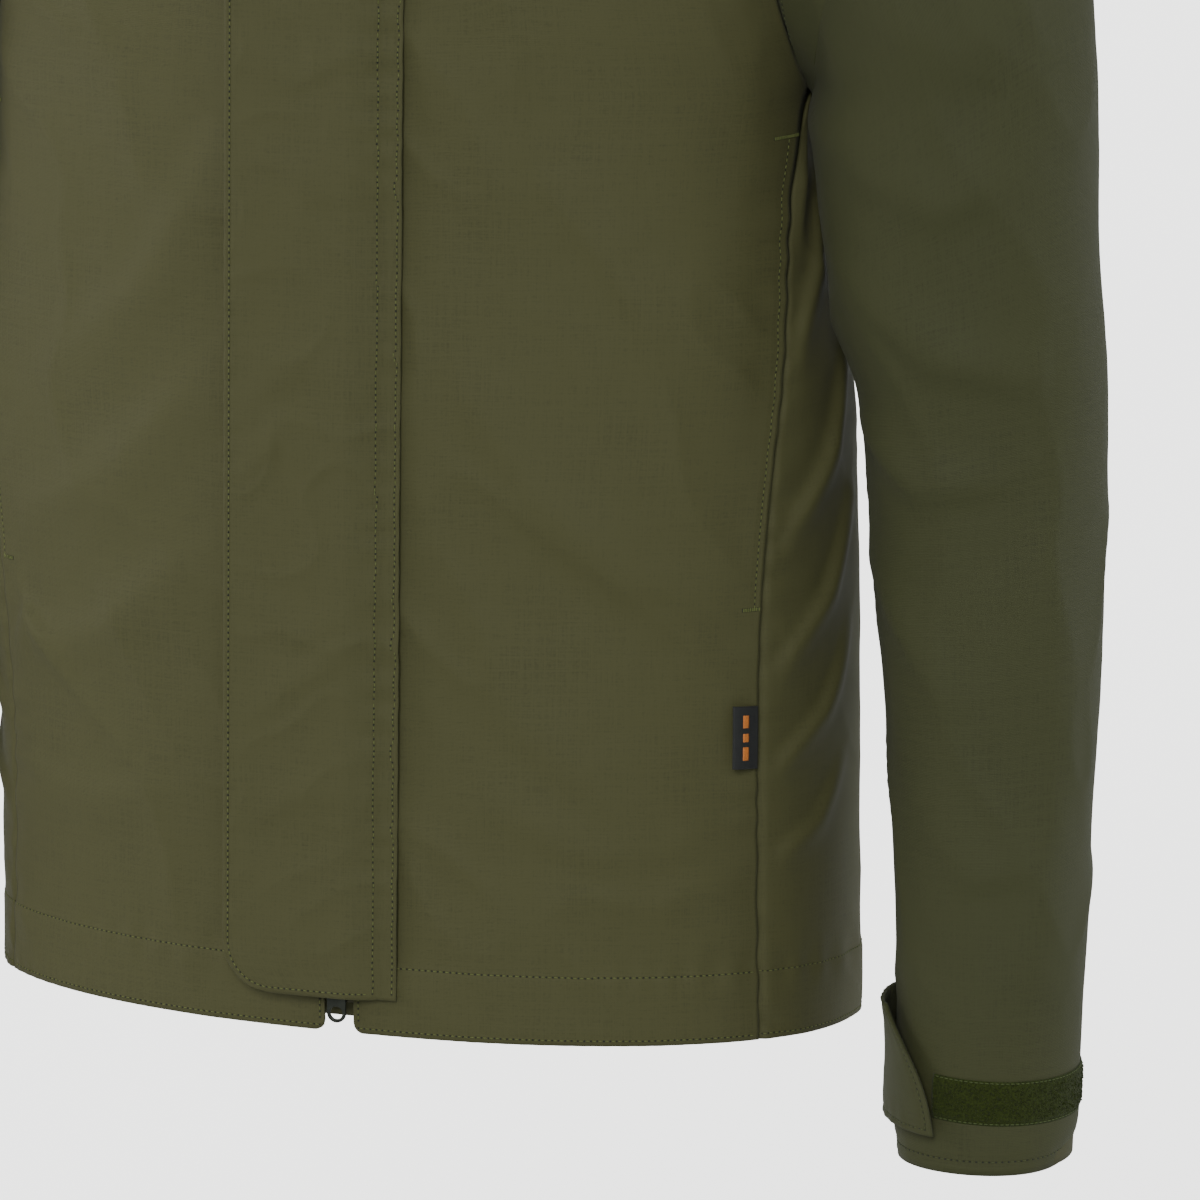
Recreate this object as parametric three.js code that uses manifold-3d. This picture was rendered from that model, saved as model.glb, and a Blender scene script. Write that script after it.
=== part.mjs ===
// A waterproof outdoor jacket, hanging open-bodied as if worn. Millimetres, +Z up.
// The front faces -Y and the wearer's left is +X. The garment is drawn with z = 0 at the front hem
// and is then moved so that the origin lies where a hook holds the hanger loop.
import * as THREE from 'three';
import { mergeVertices } from 'three/addons/utils/BufferGeometryUtils.js';
import Module from 'manifold-3d';

const wasm = await Module();
wasm.setup();

// ---- driving dimensions: the body
const HEM_HALF_WIDTH = 216;
const WAIST_HALF_WIDTH = 211;
const WAIST_Z = 290;
const UNDERARM_HALF_WIDTH = 197;
const SHOULDER_HALF_WIDTH = 250;
const BODY_HALF_DEPTH = 121;
const BACK_HALF_DEPTH_CHEST = 115;
const FRONT_LEAN = 0.04; // the straight centre front leans back by this, mm per mm of height
const SECTION_POWER = 2.3; // superellipse of the body's level sections
const HEM_DROP = 25; // the back hem hangs this much lower than the front hem
const UNDERARM_Z = 445;
const ROUNDING_Z = 470; // the shoulders start to round over here
const ROUNDING_POWER = 2.2;
const ARMHOLE_WAIST_Z = 550;
const ARMHOLE_WAIST_X = 188;
const SHOULDER_X = 225;
const SHOULDER_Z = 655;
const NECK_X = 80;
const NECK_Z = 701;
const FRONT_NECK_DROP = 64;
const BACK_NECK_DROP = 8;
const YOKE_Z = 575;
const COLLAR_HEIGHT = 70;
const COLLAR_SIDE_DIP = 12; // the collar's top edge dips this much over the shoulders

// ---- driving dimensions: cloth
const SHELL = 1.2;
const LINING = 0.8;
const GAP = 0.4; // between pieces that touch
const FACING_OFFSET = 3.0;
const TUNNEL_OFFSET = 6.2; // outer skin to the hem facing, room for the drawcord
const LINING_OFFSET = 7.0; // over the pocket bags
const CHEST_LINING_OFFSET = 4.6; // above them
const LINING_TRIM = 44; // below the neck and shoulder seams
const FRONT_LINING_TRIM = 90; // the same in front, below the sharp turn beside the neck
const FACING_HEIGHT = 56; // the turned-up hem, inside
const FACING_WIDTH = 46;
const GUARD_REACH = 26; // the wind guard behind the zip, past the centre onto the right front
const GUARD_BOTTOM = 10;

// ---- driving dimensions: closure
const ZIP_OPENING = 14.6; // between the two front edges
const ZIP_BOTTOM = 14;
const ZIP_TOP = 703;
const TAPE_WIDTH = 14.5;
const TAPE_DEPTH = 1.8; // outer skin to the tape
const TAPE_THICKNESS = 0.6;
const CHAIN_SPLIT = 2.0; // between the two rows of teeth
const CHAIN_WIDTH = 2.6;
const SLIDER_LENGTH = 13;
const SLIDER_WIDTH = 10;
const PLATE = 1.2;
const PULLER_LENGTH = 25;
const PULLER_WIDTH = 9.5;
const BOTTOM_SLIDER_Z = 30;
const TOP_SLIDER_Z = 684;
const FLAP_FREE_X = -56;
const FLAP_SEWN_X = 29.4;
const FLAP_STITCH_X = 20.8;
const FLAP_BOTTOM = 18;
const FLAP_TOP = 645;
const FLAP_CORNER = 24;
const FLAP_STANDOFF = 8;
const PATCH_WIDTH = 16;
const PATCH_HEIGHT = 50;
const PATCH_THICKNESS = 1.3;
const PATCH_COUNT = 3;

// ---- driving dimensions: hem cord
const CORD_RADIUS = 1.5;
const LOCK_RADIUS = 5.5;
const LOCK_HEIGHT = 15;
const LOCK_WALL = 1.2;
const BUTTON_PROUD = 6;
const BUTTON_TRAVEL = 3.5;
const LOCK_Z = 42;
const LOCK_ANGLE = -17; // degrees round the section from the side, forwards

// ---- driving dimensions: cuffs
const CUFF_Z = -48;
const CUFF_HEM = 26;
const TAPE_BAND_LOW = 25; // loop tape above the cuff's end
const TAPE_BAND_HEIGHT = 20;
const TAB_LOW = 17;
const TAB_HEIGHT = 54;
const TAB_ROOT_ANGLE = -205; // degrees about the forearm, 0 outwards, -90 to the front
const TAB_TIP_TOP_ANGLE = -146;
const TAB_TIP_LOW_ANGLE = -104;
const TAB_TIP_BULGE = 9; // the tip's edge is rounded outwards by this many degrees at its middle
const TAB_STANDOFF = 4.2;

// ---- looks of the CAD nodes
const OLIVE = 0x4a4833;
const LINING_OLIVE = 0x3b3d2c;
const DARK = 0x26282a;
const GUNMETAL = 0x3c4546;
const LOOP_GREEN = 0x2a3816;

const group = new THREE.Group();
const garment = new THREE.Group();
group.add(garment);

function add(name, geometry, colour, parent = garment, roughness = 0.8, metalness = 0) {
  geometry.computeVertexNormals();
  const material = new THREE.MeshStandardMaterial({ color: colour, roughness, metalness });
  const mesh = new THREE.Mesh(geometry, material);
  mesh.name = name;
  parent.add(mesh);
  return mesh;
}

// ---- geometry helpers

// A smooth curve through [position, value] keys: cubic Hermite with the slopes of the neighbours.
function curve(keys) {
  const slope = keys.map((key, i) => {
    const before = keys[Math.max(i - 1, 0)];
    const after = keys[Math.min(i + 1, keys.length - 1)];
    return (after[1] - before[1]) / (after[0] - before[0]);
  });
  return (x) => {
    if (x <= keys[0][0]) return keys[0][1];
    if (x >= keys.at(-1)[0]) return keys.at(-1)[1];
    const i = keys.findIndex((key) => key[0] > x) - 1;
    const [[x0, y0], [x1, y1]] = [keys[i], keys[i + 1]];
    const h = x1 - x0;
    const t = (x - x0) / h;
    return (1 + 2 * t) * (1 - t) ** 2 * y0 + t * (1 - t) ** 2 * h * slope[i]
      + t * t * (3 - 2 * t) * y1 - t * t * (1 - t) * h * slope[i + 1];
  };
}

function clamp(x, low, high) {
  return Math.min(Math.max(x, low), high);
}

function mix(a, b, t) {
  return a + (b - a) * t;
}

// A closed body from points and triangles, turned so that its faces point outwards.
function solid(points, triangles) {
  let volume = 0;
  for (const [a, b, c] of triangles) {
    const [p, q, r] = [points[a], points[b], points[c]];
    volume += p[0] * (q[1] * r[2] - q[2] * r[1]) - p[1] * (q[0] * r[2] - q[2] * r[0])
      + p[2] * (q[0] * r[1] - q[1] * r[0]);
  }
  const index = triangles.flatMap(([a, b, c]) => (volume > 0 ? [a, b, c] : [a, c, b]));
  const geometry = new THREE.BufferGeometry();
  geometry.setAttribute('position', new THREE.Float32BufferAttribute(points.flat(), 3));
  geometry.setIndex(index);
  return geometry;
}

// A layer of cloth between two depths under the surface point(u, v), with u and v from 0 to 1.
// Depths count along the normal du x dv, inwards; ring joins the u ends.
function cloth(point, nu, nv, outer, inner, ring = false) {
  const step = 1e-3;
  const columns = ring ? nu : nu + 1;
  const at = (u, v) => new THREE.Vector3(...point(u, v));
  const points = [];
  for (const depth of [outer, inner]) {
    for (let i = 0; i < columns; i++) {
      for (let j = 0; j <= nv; j++) {
        const [u, v] = [i / nu, j / nv];
        const [u0, u1] = ring ? [u - step, u + step] : [Math.max(u - step, 0), Math.min(u + step, 1)];
        const du = at(u1, v).sub(at(u0, v));
        const dv = at(u, Math.min(v + step, 1)).sub(at(u, Math.max(v - step, 0)));
        const normal = du.cross(dv).normalize();
        const d = typeof depth === 'function' ? depth(u, v) : depth;
        points.push(at(u, v).addScaledVector(normal, -d).toArray());
      }
    }
  }
  const id = (layer, i, j) => (layer * columns + (i % columns)) * (nv + 1) + j;
  const triangles = [];
  const quad = (a, b, c, d) => triangles.push([a, b, c], [a, c, d]);
  for (let i = 0; i < nu; i++) {
    for (let j = 0; j < nv; j++) {
      quad(id(0, i, j), id(0, i + 1, j), id(0, i + 1, j + 1), id(0, i, j + 1));
      quad(id(1, i, j), id(1, i, j + 1), id(1, i + 1, j + 1), id(1, i + 1, j));
    }
    quad(id(0, i, 0), id(1, i, 0), id(1, i + 1, 0), id(0, i + 1, 0));
    quad(id(0, i, nv), id(0, i + 1, nv), id(1, i + 1, nv), id(1, i, nv));
  }
  if (!ring) {
    for (let j = 0; j < nv; j++) {
      quad(id(0, 0, j), id(0, 0, j + 1), id(1, 0, j + 1), id(1, 0, j));
      quad(id(0, nu, j), id(1, nu, j), id(1, nu, j + 1), id(0, nu, j + 1));
    }
  }
  return solid(points, triangles);
}

// The same piece on the other side of the body.
function mirrored(geometry) {
  const position = geometry.getAttribute('position');
  const index = Array.from(geometry.getIndex().array);
  const points = [];
  for (let i = 0; i < position.count; i++) {
    points.push([-position.getX(i), position.getY(i), position.getZ(i)]);
  }
  const triangles = [];
  for (let i = 0; i < index.length; i += 3) triangles.push(index.slice(i, i + 3));
  return solid(points, triangles);
}

function pair(name, geometry, colour, roughness, metalness) {
  add(`${name}_left`, geometry, colour, garment, roughness, metalness);
  add(`${name}_right`, mirrored(geometry), colour, garment, roughness, metalness);
}

function toManifold(geometry) {
  const bare = geometry.clone();
  bare.deleteAttribute('normal');
  bare.deleteAttribute('uv');
  const merged = mergeVertices(bare, 1e-4);
  return new wasm.Manifold(new wasm.Mesh({
    numProp: 3,
    vertProperties: new Float32Array(merged.getAttribute('position').array),
    triVerts: new Uint32Array(merged.getIndex().array),
  }));
}

function fromManifold(manifold) {
  const mesh = manifold.getMesh();
  const geometry = new THREE.BufferGeometry();
  geometry.setAttribute('position', new THREE.BufferAttribute(new Float32Array(mesh.vertProperties), 3));
  geometry.setIndex(new THREE.BufferAttribute(new Uint32Array(mesh.triVerts), 1));
  return geometry;
}

function cut(geometry, ...tools) {
  return fromManifold(tools.reduce((body, tool) => body.subtract(toManifold(tool)), toManifold(geometry)));
}

function join(...pieces) {
  return fromManifold(pieces.slice(1).reduce((body, piece) => body.add(toManifold(piece)), toManifold(pieces[0])));
}

function box(x0, x1, y0, y1, z0, z1) {
  return new THREE.BoxGeometry(x1 - x0, y1 - y0, z1 - z0)
    .translate((x0 + x1) / 2, (y0 + y1) / 2, (z0 + z1) / 2);
}

// ---- the body's surface

const halfWidth = curve([
  [-HEM_DROP, HEM_HALF_WIDTH], [0, HEM_HALF_WIDTH], [WAIST_Z, WAIST_HALF_WIDTH],
  [UNDERARM_Z, UNDERARM_HALF_WIDTH], [SHOULDER_Z, SHOULDER_HALF_WIDTH],
]);
const backDepth = curve([
  [-HEM_DROP, BODY_HALF_DEPTH], [WAIST_Z, BODY_HALF_DEPTH - 3], [ROUNDING_Z, BACK_HALF_DEPTH_CHEST],
  [NECK_Z, BACK_HALF_DEPTH_CHEST - 4],
]);
const armholeX = curve([
  [UNDERARM_Z, UNDERARM_HALF_WIDTH], [ARMHOLE_WAIST_Z, ARMHOLE_WAIST_X], [SHOULDER_Z, SHOULDER_X],
]);

function frontDepth(z) {
  return BODY_HALF_DEPTH - FRONT_LEAN * z;
}

function section(share) {
  return (1 - clamp(share, 0, 1) ** SECTION_POWER) ** (1 / SECTION_POWER);
}

function shoulderLine(x, neckRise) {
  if (x < NECK_X) return NECK_Z + neckRise * (1 - (x / NECK_X) ** 2);
  return NECK_Z - (x - NECK_X) * (NECK_Z - SHOULDER_Z) / (SHOULDER_X - NECK_X);
}

// 1 below the rounding, falling to 0 at the shoulder line.
function rounding(x, z, neckRise) {
  if (z <= ROUNDING_Z) return 1;
  const q = clamp((z - ROUNDING_Z) / (shoulderLine(x, neckRise) - ROUNDING_Z), 0, 1);
  return Math.sqrt(1 - q ** ROUNDING_POWER);
}

const FRONT_NECK_RISE = 96; // the shoulder line's imagined height over the neck's centre
const BACK_NECK_RISE = 36;
const STRAIGHT_X = 50; // within this the front keeps its straight lean up to the neck
const CHEST_BLEND_X = 140; // and out to here it blends into the rounded chest
const BLEND_NARROWS_Z = 560;

function frontY(x, z) {
  const across = Math.abs(x);
  const narrow = clamp((z - BLEND_NARROWS_Z) / (NECK_Z - BLEND_NARROWS_Z), 0, 1);
  const end = mix(CHEST_BLEND_X, NECK_X + 2, narrow);
  const t = clamp((end - across) / (end - STRAIGHT_X), 0, 1);
  const straight = t * t * (3 - 2 * t);
  const rounded = mix(rounding(across, z, FRONT_NECK_RISE), 1, straight);
  return -frontDepth(z) * rounded * section(across / halfWidth(z));
}

function backY(x, z) {
  const across = Math.abs(x);
  return backDepth(z) * rounding(across, z, BACK_NECK_RISE) * section(across / halfWidth(z));
}

// The hem runs level at the front and drops towards the back.
function hemZ(y) {
  return -HEM_DROP * clamp((1 + y / BODY_HALF_DEPTH) / 2, 0, 1) ** 2;
}

function frontNeckZ(x) {
  return NECK_Z - FRONT_NECK_DROP * (1 - clamp(x / NECK_X, 0, 1) ** 2) ** 0.9;
}

function backNeckZ(x) {
  return NECK_Z - BACK_NECK_DROP * (1 - clamp(x / NECK_X, 0, 1) ** 2);
}

// ---- seams

const FRONT_SEAM_SHARE = curve([
  [-HEM_DROP, 0.885], [190, 0.885], [270, 0.91], [350, 0.955], [410, 0.985], [UNDERARM_Z, 1],
]);
const BACK_SEAM_SHARE_HEM = 0.93;

function frontSeamX(z) {
  return z < UNDERARM_Z ? halfWidth(z) * FRONT_SEAM_SHARE(z) : armholeX(Math.min(z, SHOULDER_Z));
}

function backSeamShare(z) {
  const top = armholeX(ROUNDING_Z) / halfWidth(ROUNDING_Z);
  return mix(BACK_SEAM_SHARE_HEM, top, clamp(z / ROUNDING_Z, 0, 1));
}

function backSeamX(z) {
  return z < ROUNDING_Z ? halfWidth(z) * backSeamShare(z) : armholeX(Math.min(z, SHOULDER_Z));
}

// Height at v up a column that ends at top: even below the rounding, and closer near the shoulder.
function columnZ(v, low, top, x, neckRise) {
  const line = shoulderLine(x, neckRise);
  const q = clamp((top - ROUNDING_Z) / (line - ROUNDING_Z), 0, 1);
  const turn = Math.min(Math.asin(q ** (ROUNDING_POWER / 2)), Math.PI / 2 - 0.008);
  const split = low < ROUNDING_Z ? 0.6 : 0;
  if (v < split) return mix(low, ROUNDING_Z, v / split);
  const start = low < ROUNDING_Z ? 0 : Math.asin(((low - ROUNDING_Z) / (line - ROUNDING_Z)) ** (ROUNDING_POWER / 2));
  const angle = mix(start, turn, (v - split) / (1 - split));
  return ROUNDING_Z + (line - ROUNDING_Z) * Math.sin(angle) ** (2 / ROUNDING_POWER);
}

// Where a column of a front or back panel meets the neckline or the shoulder seam.
function columnTop(xAt, neckZ) {
  let z = NECK_Z;
  for (let i = 0; i < 40; i++) {
    const x = xAt(z);
    z = mix(z, x < NECK_X ? neckZ(x) : shoulderLine(x, 0), 0.5);
  }
  return z;
}

// Columns of a front panel lie closer together towards the side, where the body turns.
function ease(u) {
  return mix(u, Math.sin(u * Math.PI / 2), 0.6);
}

// Front between two distances from the centre, from the hem (or low) to the neck and shoulder.
function frontSheet(inX, outX, low, topTrim = 0) {
  return (u, v) => {
    const xAt = (z) => mix(inX(z), outX(z), ease(u));
    const top = columnTop(xAt, frontNeckZ) - topTrim;
    let z = top;
    for (let i = 0; i < 12; i++) z = columnZ(v, low(xAt(0)), top, xAt(z), FRONT_NECK_RISE);
    const x = xAt(z);
    return [x, frontY(x, z), z];
  };
}

function backSheet(outX, low, topTrim = 0) {
  return (u, v) => {
    const xAt = (z) => outX(z) * Math.cos(Math.PI * u);
    const reach = (z) => Math.abs(xAt(z));
    const top = columnTop(reach, backNeckZ) - topTrim;
    let z = top;
    for (let i = 0; i < 12; i++) z = columnZ(v, low(xAt(0)), top, reach(z), BACK_NECK_RISE);
    const x = xAt(z);
    return [x, backY(x, z), z];
  };
}

// Back below the yoke, and the side panel, end at a height that is given or found on the armhole.
function sideSheet(low) {
  return (u, v) => {
    const angleAt = (z) => mix(
      -Math.acos(clamp(FRONT_SEAM_SHARE(z), 0, 1) ** (SECTION_POWER / 2)),
      Math.acos(backSeamShare(z) ** (SECTION_POWER / 2)), mix(0.004, 0.996, u));
    const xAt = (z) => halfWidth(z) * Math.cos(angleAt(z)) ** (2 / SECTION_POWER);
    let [inside, outside] = [UNDERARM_Z, ROUNDING_Z + 10];
    for (let i = 0; i < 40; i++) {
      const middle = (inside + outside) / 2;
      if (xAt(middle) < armholeX(middle)) inside = middle;
      else outside = middle;
    }
    const top = inside - GAP - 1.2;
    const y = (z) => {
      const share = xAt(z) / halfWidth(z);
      return angleAt(z) < 0 ? -frontDepth(z) * section(share) : backDepth(z) * section(share);
    };
    const z = mix(low(y(0)), top, v);
    return [xAt(z), y(z), z];
  };
}

const EDGE = 0.6; // half of the gap at a seam between two panels
const edgeX = ZIP_OPENING / 2;

function bodyPanels() {
  const frontHem = (x) => hemZ(frontY(x, 0));
  const backHem = (x) => hemZ(backY(x, 0));
  const front = frontSheet(() => edgeX, (z) => frontSeamX(z) - EDGE, frontHem);
  pair('front_panel', cloth(front, 12, 17, 0, SHELL), OLIVE);
  pair('side_panel', cloth(sideSheet(hemZ), 5, 14, 0, SHELL), OLIVE);
  const backPoint = (u, v) => {
    const z = mix(backHem(backSeamX(0) * Math.cos(Math.PI * u)), YOKE_Z - EDGE, v);
    const x = (backSeamX(z) - EDGE) * Math.cos(Math.PI * u);
    return [x, backY(x, z), z];
  };
  add('back_panel', cloth(backPoint, 16, 14, 0, SHELL), OLIVE);
  const yoke = backSheet((z) => armholeX(Math.min(z, SHOULDER_Z)) - EDGE, () => YOKE_Z + EDGE);
  add('back_yoke', cloth(yoke, 16, 7, 0, SHELL), OLIVE);
}

function linings() {
  const bandTop = (z) => z + FACING_HEIGHT + 2;
  const inset = LINING_OFFSET;
  const depth = (extra) => (u, v) => {
    const rise = clamp((v - 0.55) / 0.12, 0, 1);
    return mix(LINING_OFFSET, CHEST_LINING_OFFSET, rise) + extra;
  };
  const front = frontSheet(
    () => FACING_WIDTH + 1.5, (z) => frontSeamX(z) - 1.5, () => bandTop(0), FRONT_LINING_TRIM);
  pair('lining_front', cloth(front, 10, 15, depth(0), depth(LINING)), LINING_OLIVE);
  const side = sideSheet((y) => bandTop(hemZ(y)));
  const trimmed = (u, v) => side(mix(0.03, 0.97, u), mix(0, 0.92, v));
  pair('lining_side', cloth(trimmed, 4, 9, inset, inset + LINING), LINING_OLIVE);
  const back = backSheet((z) => backSeamX(z) - 1.5, (x) => bandTop(hemZ(backY(x, 0))), LINING_TRIM);
  add('lining_back', cloth(back, 14, 16, depth(0), depth(LINING)), LINING_OLIVE);
}

// A strip on the front between two straight vertical lines.
function frontStrip(x0, x1, z0, z1) {
  return (u, v) => {
    const [x, z] = [mix(x0, x1, u), mix(z0, z1, v)];
    return [x, frontY(x, z), z];
  };
}

function facings() {
  const low = () => 1.5;
  const strip = frontSheet(() => edgeX + 1.7, () => FACING_WIDTH, low, 7);
  pair('front_facing', cloth(strip, 3, 12, FACING_OFFSET, FACING_OFFSET + LINING), OLIVE);
  const guard = frontStrip(-GUARD_REACH, FACING_WIDTH - 4, GUARD_BOTTOM, NECK_Z - FRONT_NECK_DROP - 8);
  add('wind_guard', cloth(guard, 4, 12, FACING_OFFSET + 3, FACING_OFFSET + 3 + LINING), OLIVE);
}

// ---- the hem band, its drawcord and locks

// A point of the level section at an angle from the side, forwards being negative.
function sectionPoint(angle, z, depth) {
  const x = halfWidth(z) * Math.abs(Math.cos(angle)) ** (2 / SECTION_POWER) * Math.sign(Math.cos(angle));
  const y = (Math.sin(angle) < 0 ? -frontDepth(z) : backDepth(z))
    * Math.abs(Math.sin(angle)) ** (2 / SECTION_POWER);
  const step = 0.01;
  if (depth === 0) return [x, y, z];
  const before = sectionPoint(angle - step, z, 0);
  const after = sectionPoint(angle + step, z, 0);
  const tangent = [after[0] - before[0], after[1] - before[1]];
  const length = Math.hypot(...tangent);
  return [x - depth * tangent[1] / length, y + depth * tangent[0] / length, z];
}

const LOCK_DEPTH = SHELL + 1.5 + LOCK_RADIUS;

function lockPlace() {
  return sectionPoint(THREE.MathUtils.degToRad(LOCK_ANGLE), LOCK_Z, LOCK_DEPTH);
}

function lockHeading() {
  const angle = THREE.MathUtils.degToRad(LOCK_ANGLE);
  const [a, b] = [sectionPoint(angle - 0.01, LOCK_Z, 0), sectionPoint(angle + 0.01, LOCK_Z, 0)];
  return Math.atan2(b[1] - a[1], b[0] - a[0]);
}

const CORD_CLEAR = 0.5;
const LOCK_LEAD = 2.5; // the cord runs level this far past each side of a lock
const WINDOW_HALF_LENGTH = 42;

function hemFacing() {
  const start = -Math.acos(((FACING_WIDTH + 1.5) / HEM_HALF_WIDTH) ** (SECTION_POWER / 2));
  const around = (u, v) => {
    const angle = mix(start, Math.PI - start, u);
    const foot = hemZ(sectionPoint(angle, 0, 0)[1]) + 1.5;
    return sectionPoint(angle, foot + v * (FACING_HEIGHT - 1.5), 0);
  };
  const band = cloth(around, 44, 2, TUNNEL_OFFSET, TUNNEL_OFFSET + LINING);
  const [x, y] = lockPlace();
  const windows = [1, -1].map((side) => {
    const tool = new THREE.BoxGeometry(2 * WINDOW_HALF_LENGTH, 3 * LOCK_RADIUS, LOCK_HEIGHT + 10);
    return tool.rotateZ(side * lockHeading()).translate(side * x, y, LOCK_Z + 1);
  });
  add('hem_facing', cut(band, ...windows), OLIVE);
}

function cordRoute() {
  const points = [];
  const lock = THREE.MathUtils.degToRad(LOCK_ANGLE);
  const end = lock - 0.1;
  const steps = 62;
  const [a, b] = [sectionPoint(lock - 0.01, LOCK_Z, 0), sectionPoint(lock + 0.01, LOCK_Z, 0)];
  const level = (LOCK_RADIUS + LOCK_LEAD) * 0.02 / Math.hypot(b[0] - a[0], b[1] - a[1]);
  for (let i = 0; i <= steps; i++) {
    const angle = mix(end, Math.PI - end, i / steps);
    const near = Math.min(Math.abs(angle - lock), Math.abs(Math.PI - angle - lock));
    const t = clamp((near - level) / 0.09, 0, 1);
    const depth = mix(LOCK_DEPTH, (SHELL + TUNNEL_OFFSET) / 2, t * t * (3 - 2 * t));
    const drop = clamp((near - 0.12) / 0.4, 0, 1);
    const z = LOCK_Z - drop * drop * (3 - 2 * drop) * 16 + hemZ(sectionPoint(angle, 0, 0)[1]) * drop;
    points.push(new THREE.Vector3(...sectionPoint(angle, z, depth)));
  }
  return new THREE.CatmullRomCurve3(points);
}

function ngon(radius, sides) {
  const shape = new THREE.Shape();
  for (let i = 0; i < sides; i++) {
    const a = (i / sides) * 2 * Math.PI;
    if (i === 0) shape.moveTo(radius, 0);
    else shape.lineTo(radius * Math.cos(a), radius * Math.sin(a));
  }
  shape.closePath();
  return shape;
}

function hemCord() {
  const geometry = new THREE.ExtrudeGeometry(ngon(CORD_RADIUS, 8), {
    steps: 66, extrudePath: cordRoute(), bevelEnabled: false,
  });
  add('hem_drawcord', mergeVertices(stripped(geometry), 1e-4), DARK);
}

function stripped(geometry) {
  geometry.deleteAttribute('normal');
  geometry.deleteAttribute('uv');
  return geometry;
}

// A cylinder with its axis upright, or along X when level is true.
function rod(radius, z0, z1, sides = 20, level = false) {
  const geometry = new THREE.CylinderGeometry(radius, radius, z1 - z0, sides);
  if (level) return geometry.rotateZ(Math.PI / 2).translate((z0 + z1) / 2, 0, 0);
  return geometry.rotateX(Math.PI / 2).translate(0, 0, (z0 + z1) / 2);
}

function cordLocks() {
  const bore = LOCK_RADIUS - LOCK_WALL;
  const hole = rod(CORD_RADIUS + CORD_CLEAR, -2 * LOCK_RADIUS, 2 * LOCK_RADIUS, 12, true);
  const [low, high] = [-LOCK_HEIGHT * 0.6, LOCK_HEIGHT * 0.4];
  const body = cut(rod(LOCK_RADIUS, low, high), rod(bore, low + LOCK_WALL, high + 1), hole);
  const stem = bore - GAP;
  const slotHigh = CORD_RADIUS + CORD_CLEAR + BUTTON_TRAVEL;
  const stemLow = low + LOCK_WALL + BUTTON_TRAVEL + GAP;
  const slot = box(-2 * LOCK_RADIUS, 2 * LOCK_RADIUS, -CORD_RADIUS - CORD_CLEAR, CORD_RADIUS + CORD_CLEAR,
    -CORD_RADIUS - CORD_CLEAR, slotHigh);
  const button = cut(rod(stem, stemLow, high + BUTTON_PROUD), slot);
  const [x, y] = lockPlace();
  for (const [geometry, name, colour] of [[body, 'cord_lock_body', DARK], [button, 'cord_lock_button', DARK]]) {
    pair(name, geometry.rotateZ(lockHeading()).translate(x, y, LOCK_Z), colour, 0.5);
  }
}

// ---- sleeves

// Each ring: the outer or top edge [x, z], the inner or lower edge [x, z], its middle y and half-depth.
const SLEEVE_RINGS = [
  { top: [260, 642], low: [202, 441], y: 0, depth: 60 },
  { top: [291, 610], low: [204, 433], y: -1, depth: 64 },
  { top: [314, 558], low: [207, 421], y: -2, depth: 66 },
  { top: [327, 495], low: [210, 399], y: -3, depth: 64 },
  { top: [332, 420], low: [216, 362], y: -5, depth: 61 },
  { top: [337, 340], low: [223, 310], y: -7, depth: 57.5 },
  { top: [340, 255], low: [232, 238], y: -12, depth: 54 },
  { top: [342, 170], low: [242, 160], y: -22, depth: 50 },
  { top: [342, 90], low: [249, 85], y: -34, depth: 46.5 },
  { top: [342, 30], low: [254, 30], y: -43, depth: 44 },
  { top: [342, CUFF_Z], low: [256, CUFF_Z], y: -53, depth: 43 },
];
const RINGS = SLEEVE_RINGS.length; // ring 0 is the armhole, the last one the cuff's end
const LAST_Z = SLEEVE_RINGS[RINGS - 2].top[1];
const sleeveKeys = (read) => curve(SLEEVE_RINGS.map((ring, i) => [i + 1, read(ring)]));
const sleeve = {
  topX: sleeveKeys((ring) => ring.top[0]),
  topZ: sleeveKeys((ring) => ring.top[1]),
  lowX: sleeveKeys((ring) => ring.low[0]),
  lowZ: sleeveKeys((ring) => ring.low[1]),
  y: sleeveKeys((ring) => ring.y),
  depth: sleeveKeys((ring) => ring.depth),
};

function armholePoint(turn) {
  const middle = (SHOULDER_Z + UNDERARM_Z) / 2;
  const z = middle + (SHOULDER_Z - UNDERARM_Z - 1) / 2 * Math.cos(turn);
  const x = armholeX(z);
  const y = Math.sin(turn) < 0 ? frontY(x, z) : backY(x, z);
  return [x + 3 * GAP, y, z];
}

// turn 0 is the outer or top edge, -90 degrees the front. place counts rings from the armhole.
function sleevePoint(turn, place) {
  const at = Math.max(place, 1);
  const [tx, tz, lx, lz] = [sleeve.topX(at), sleeve.topZ(at), sleeve.lowX(at), sleeve.lowZ(at)];
  const along = (1 + Math.cos(turn)) / 2;
  const ring = [
    mix(lx, tx, along),
    sleeve.y(at) + sleeve.depth(at) * Math.sin(turn),
    mix(lz, tz, along),
  ];
  if (place >= 1) return ring;
  const hole = armholePoint(turn);
  return ring.map((value, i) => mix(hole[i], value, place));
}

// Place along the last, straight stretch of the forearm for a height above the cuff's end.
function cuffPlace(height) {
  return RINGS - height / (LAST_Z - CUFF_Z);
}

function cuffBand(height0, height1, turn0, turn1) {
  const radians = THREE.MathUtils.degToRad;
  return (u, v) => sleevePoint(radians(mix(turn0, turn1, u)), cuffPlace(mix(height0, height1, v)));
}

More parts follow.
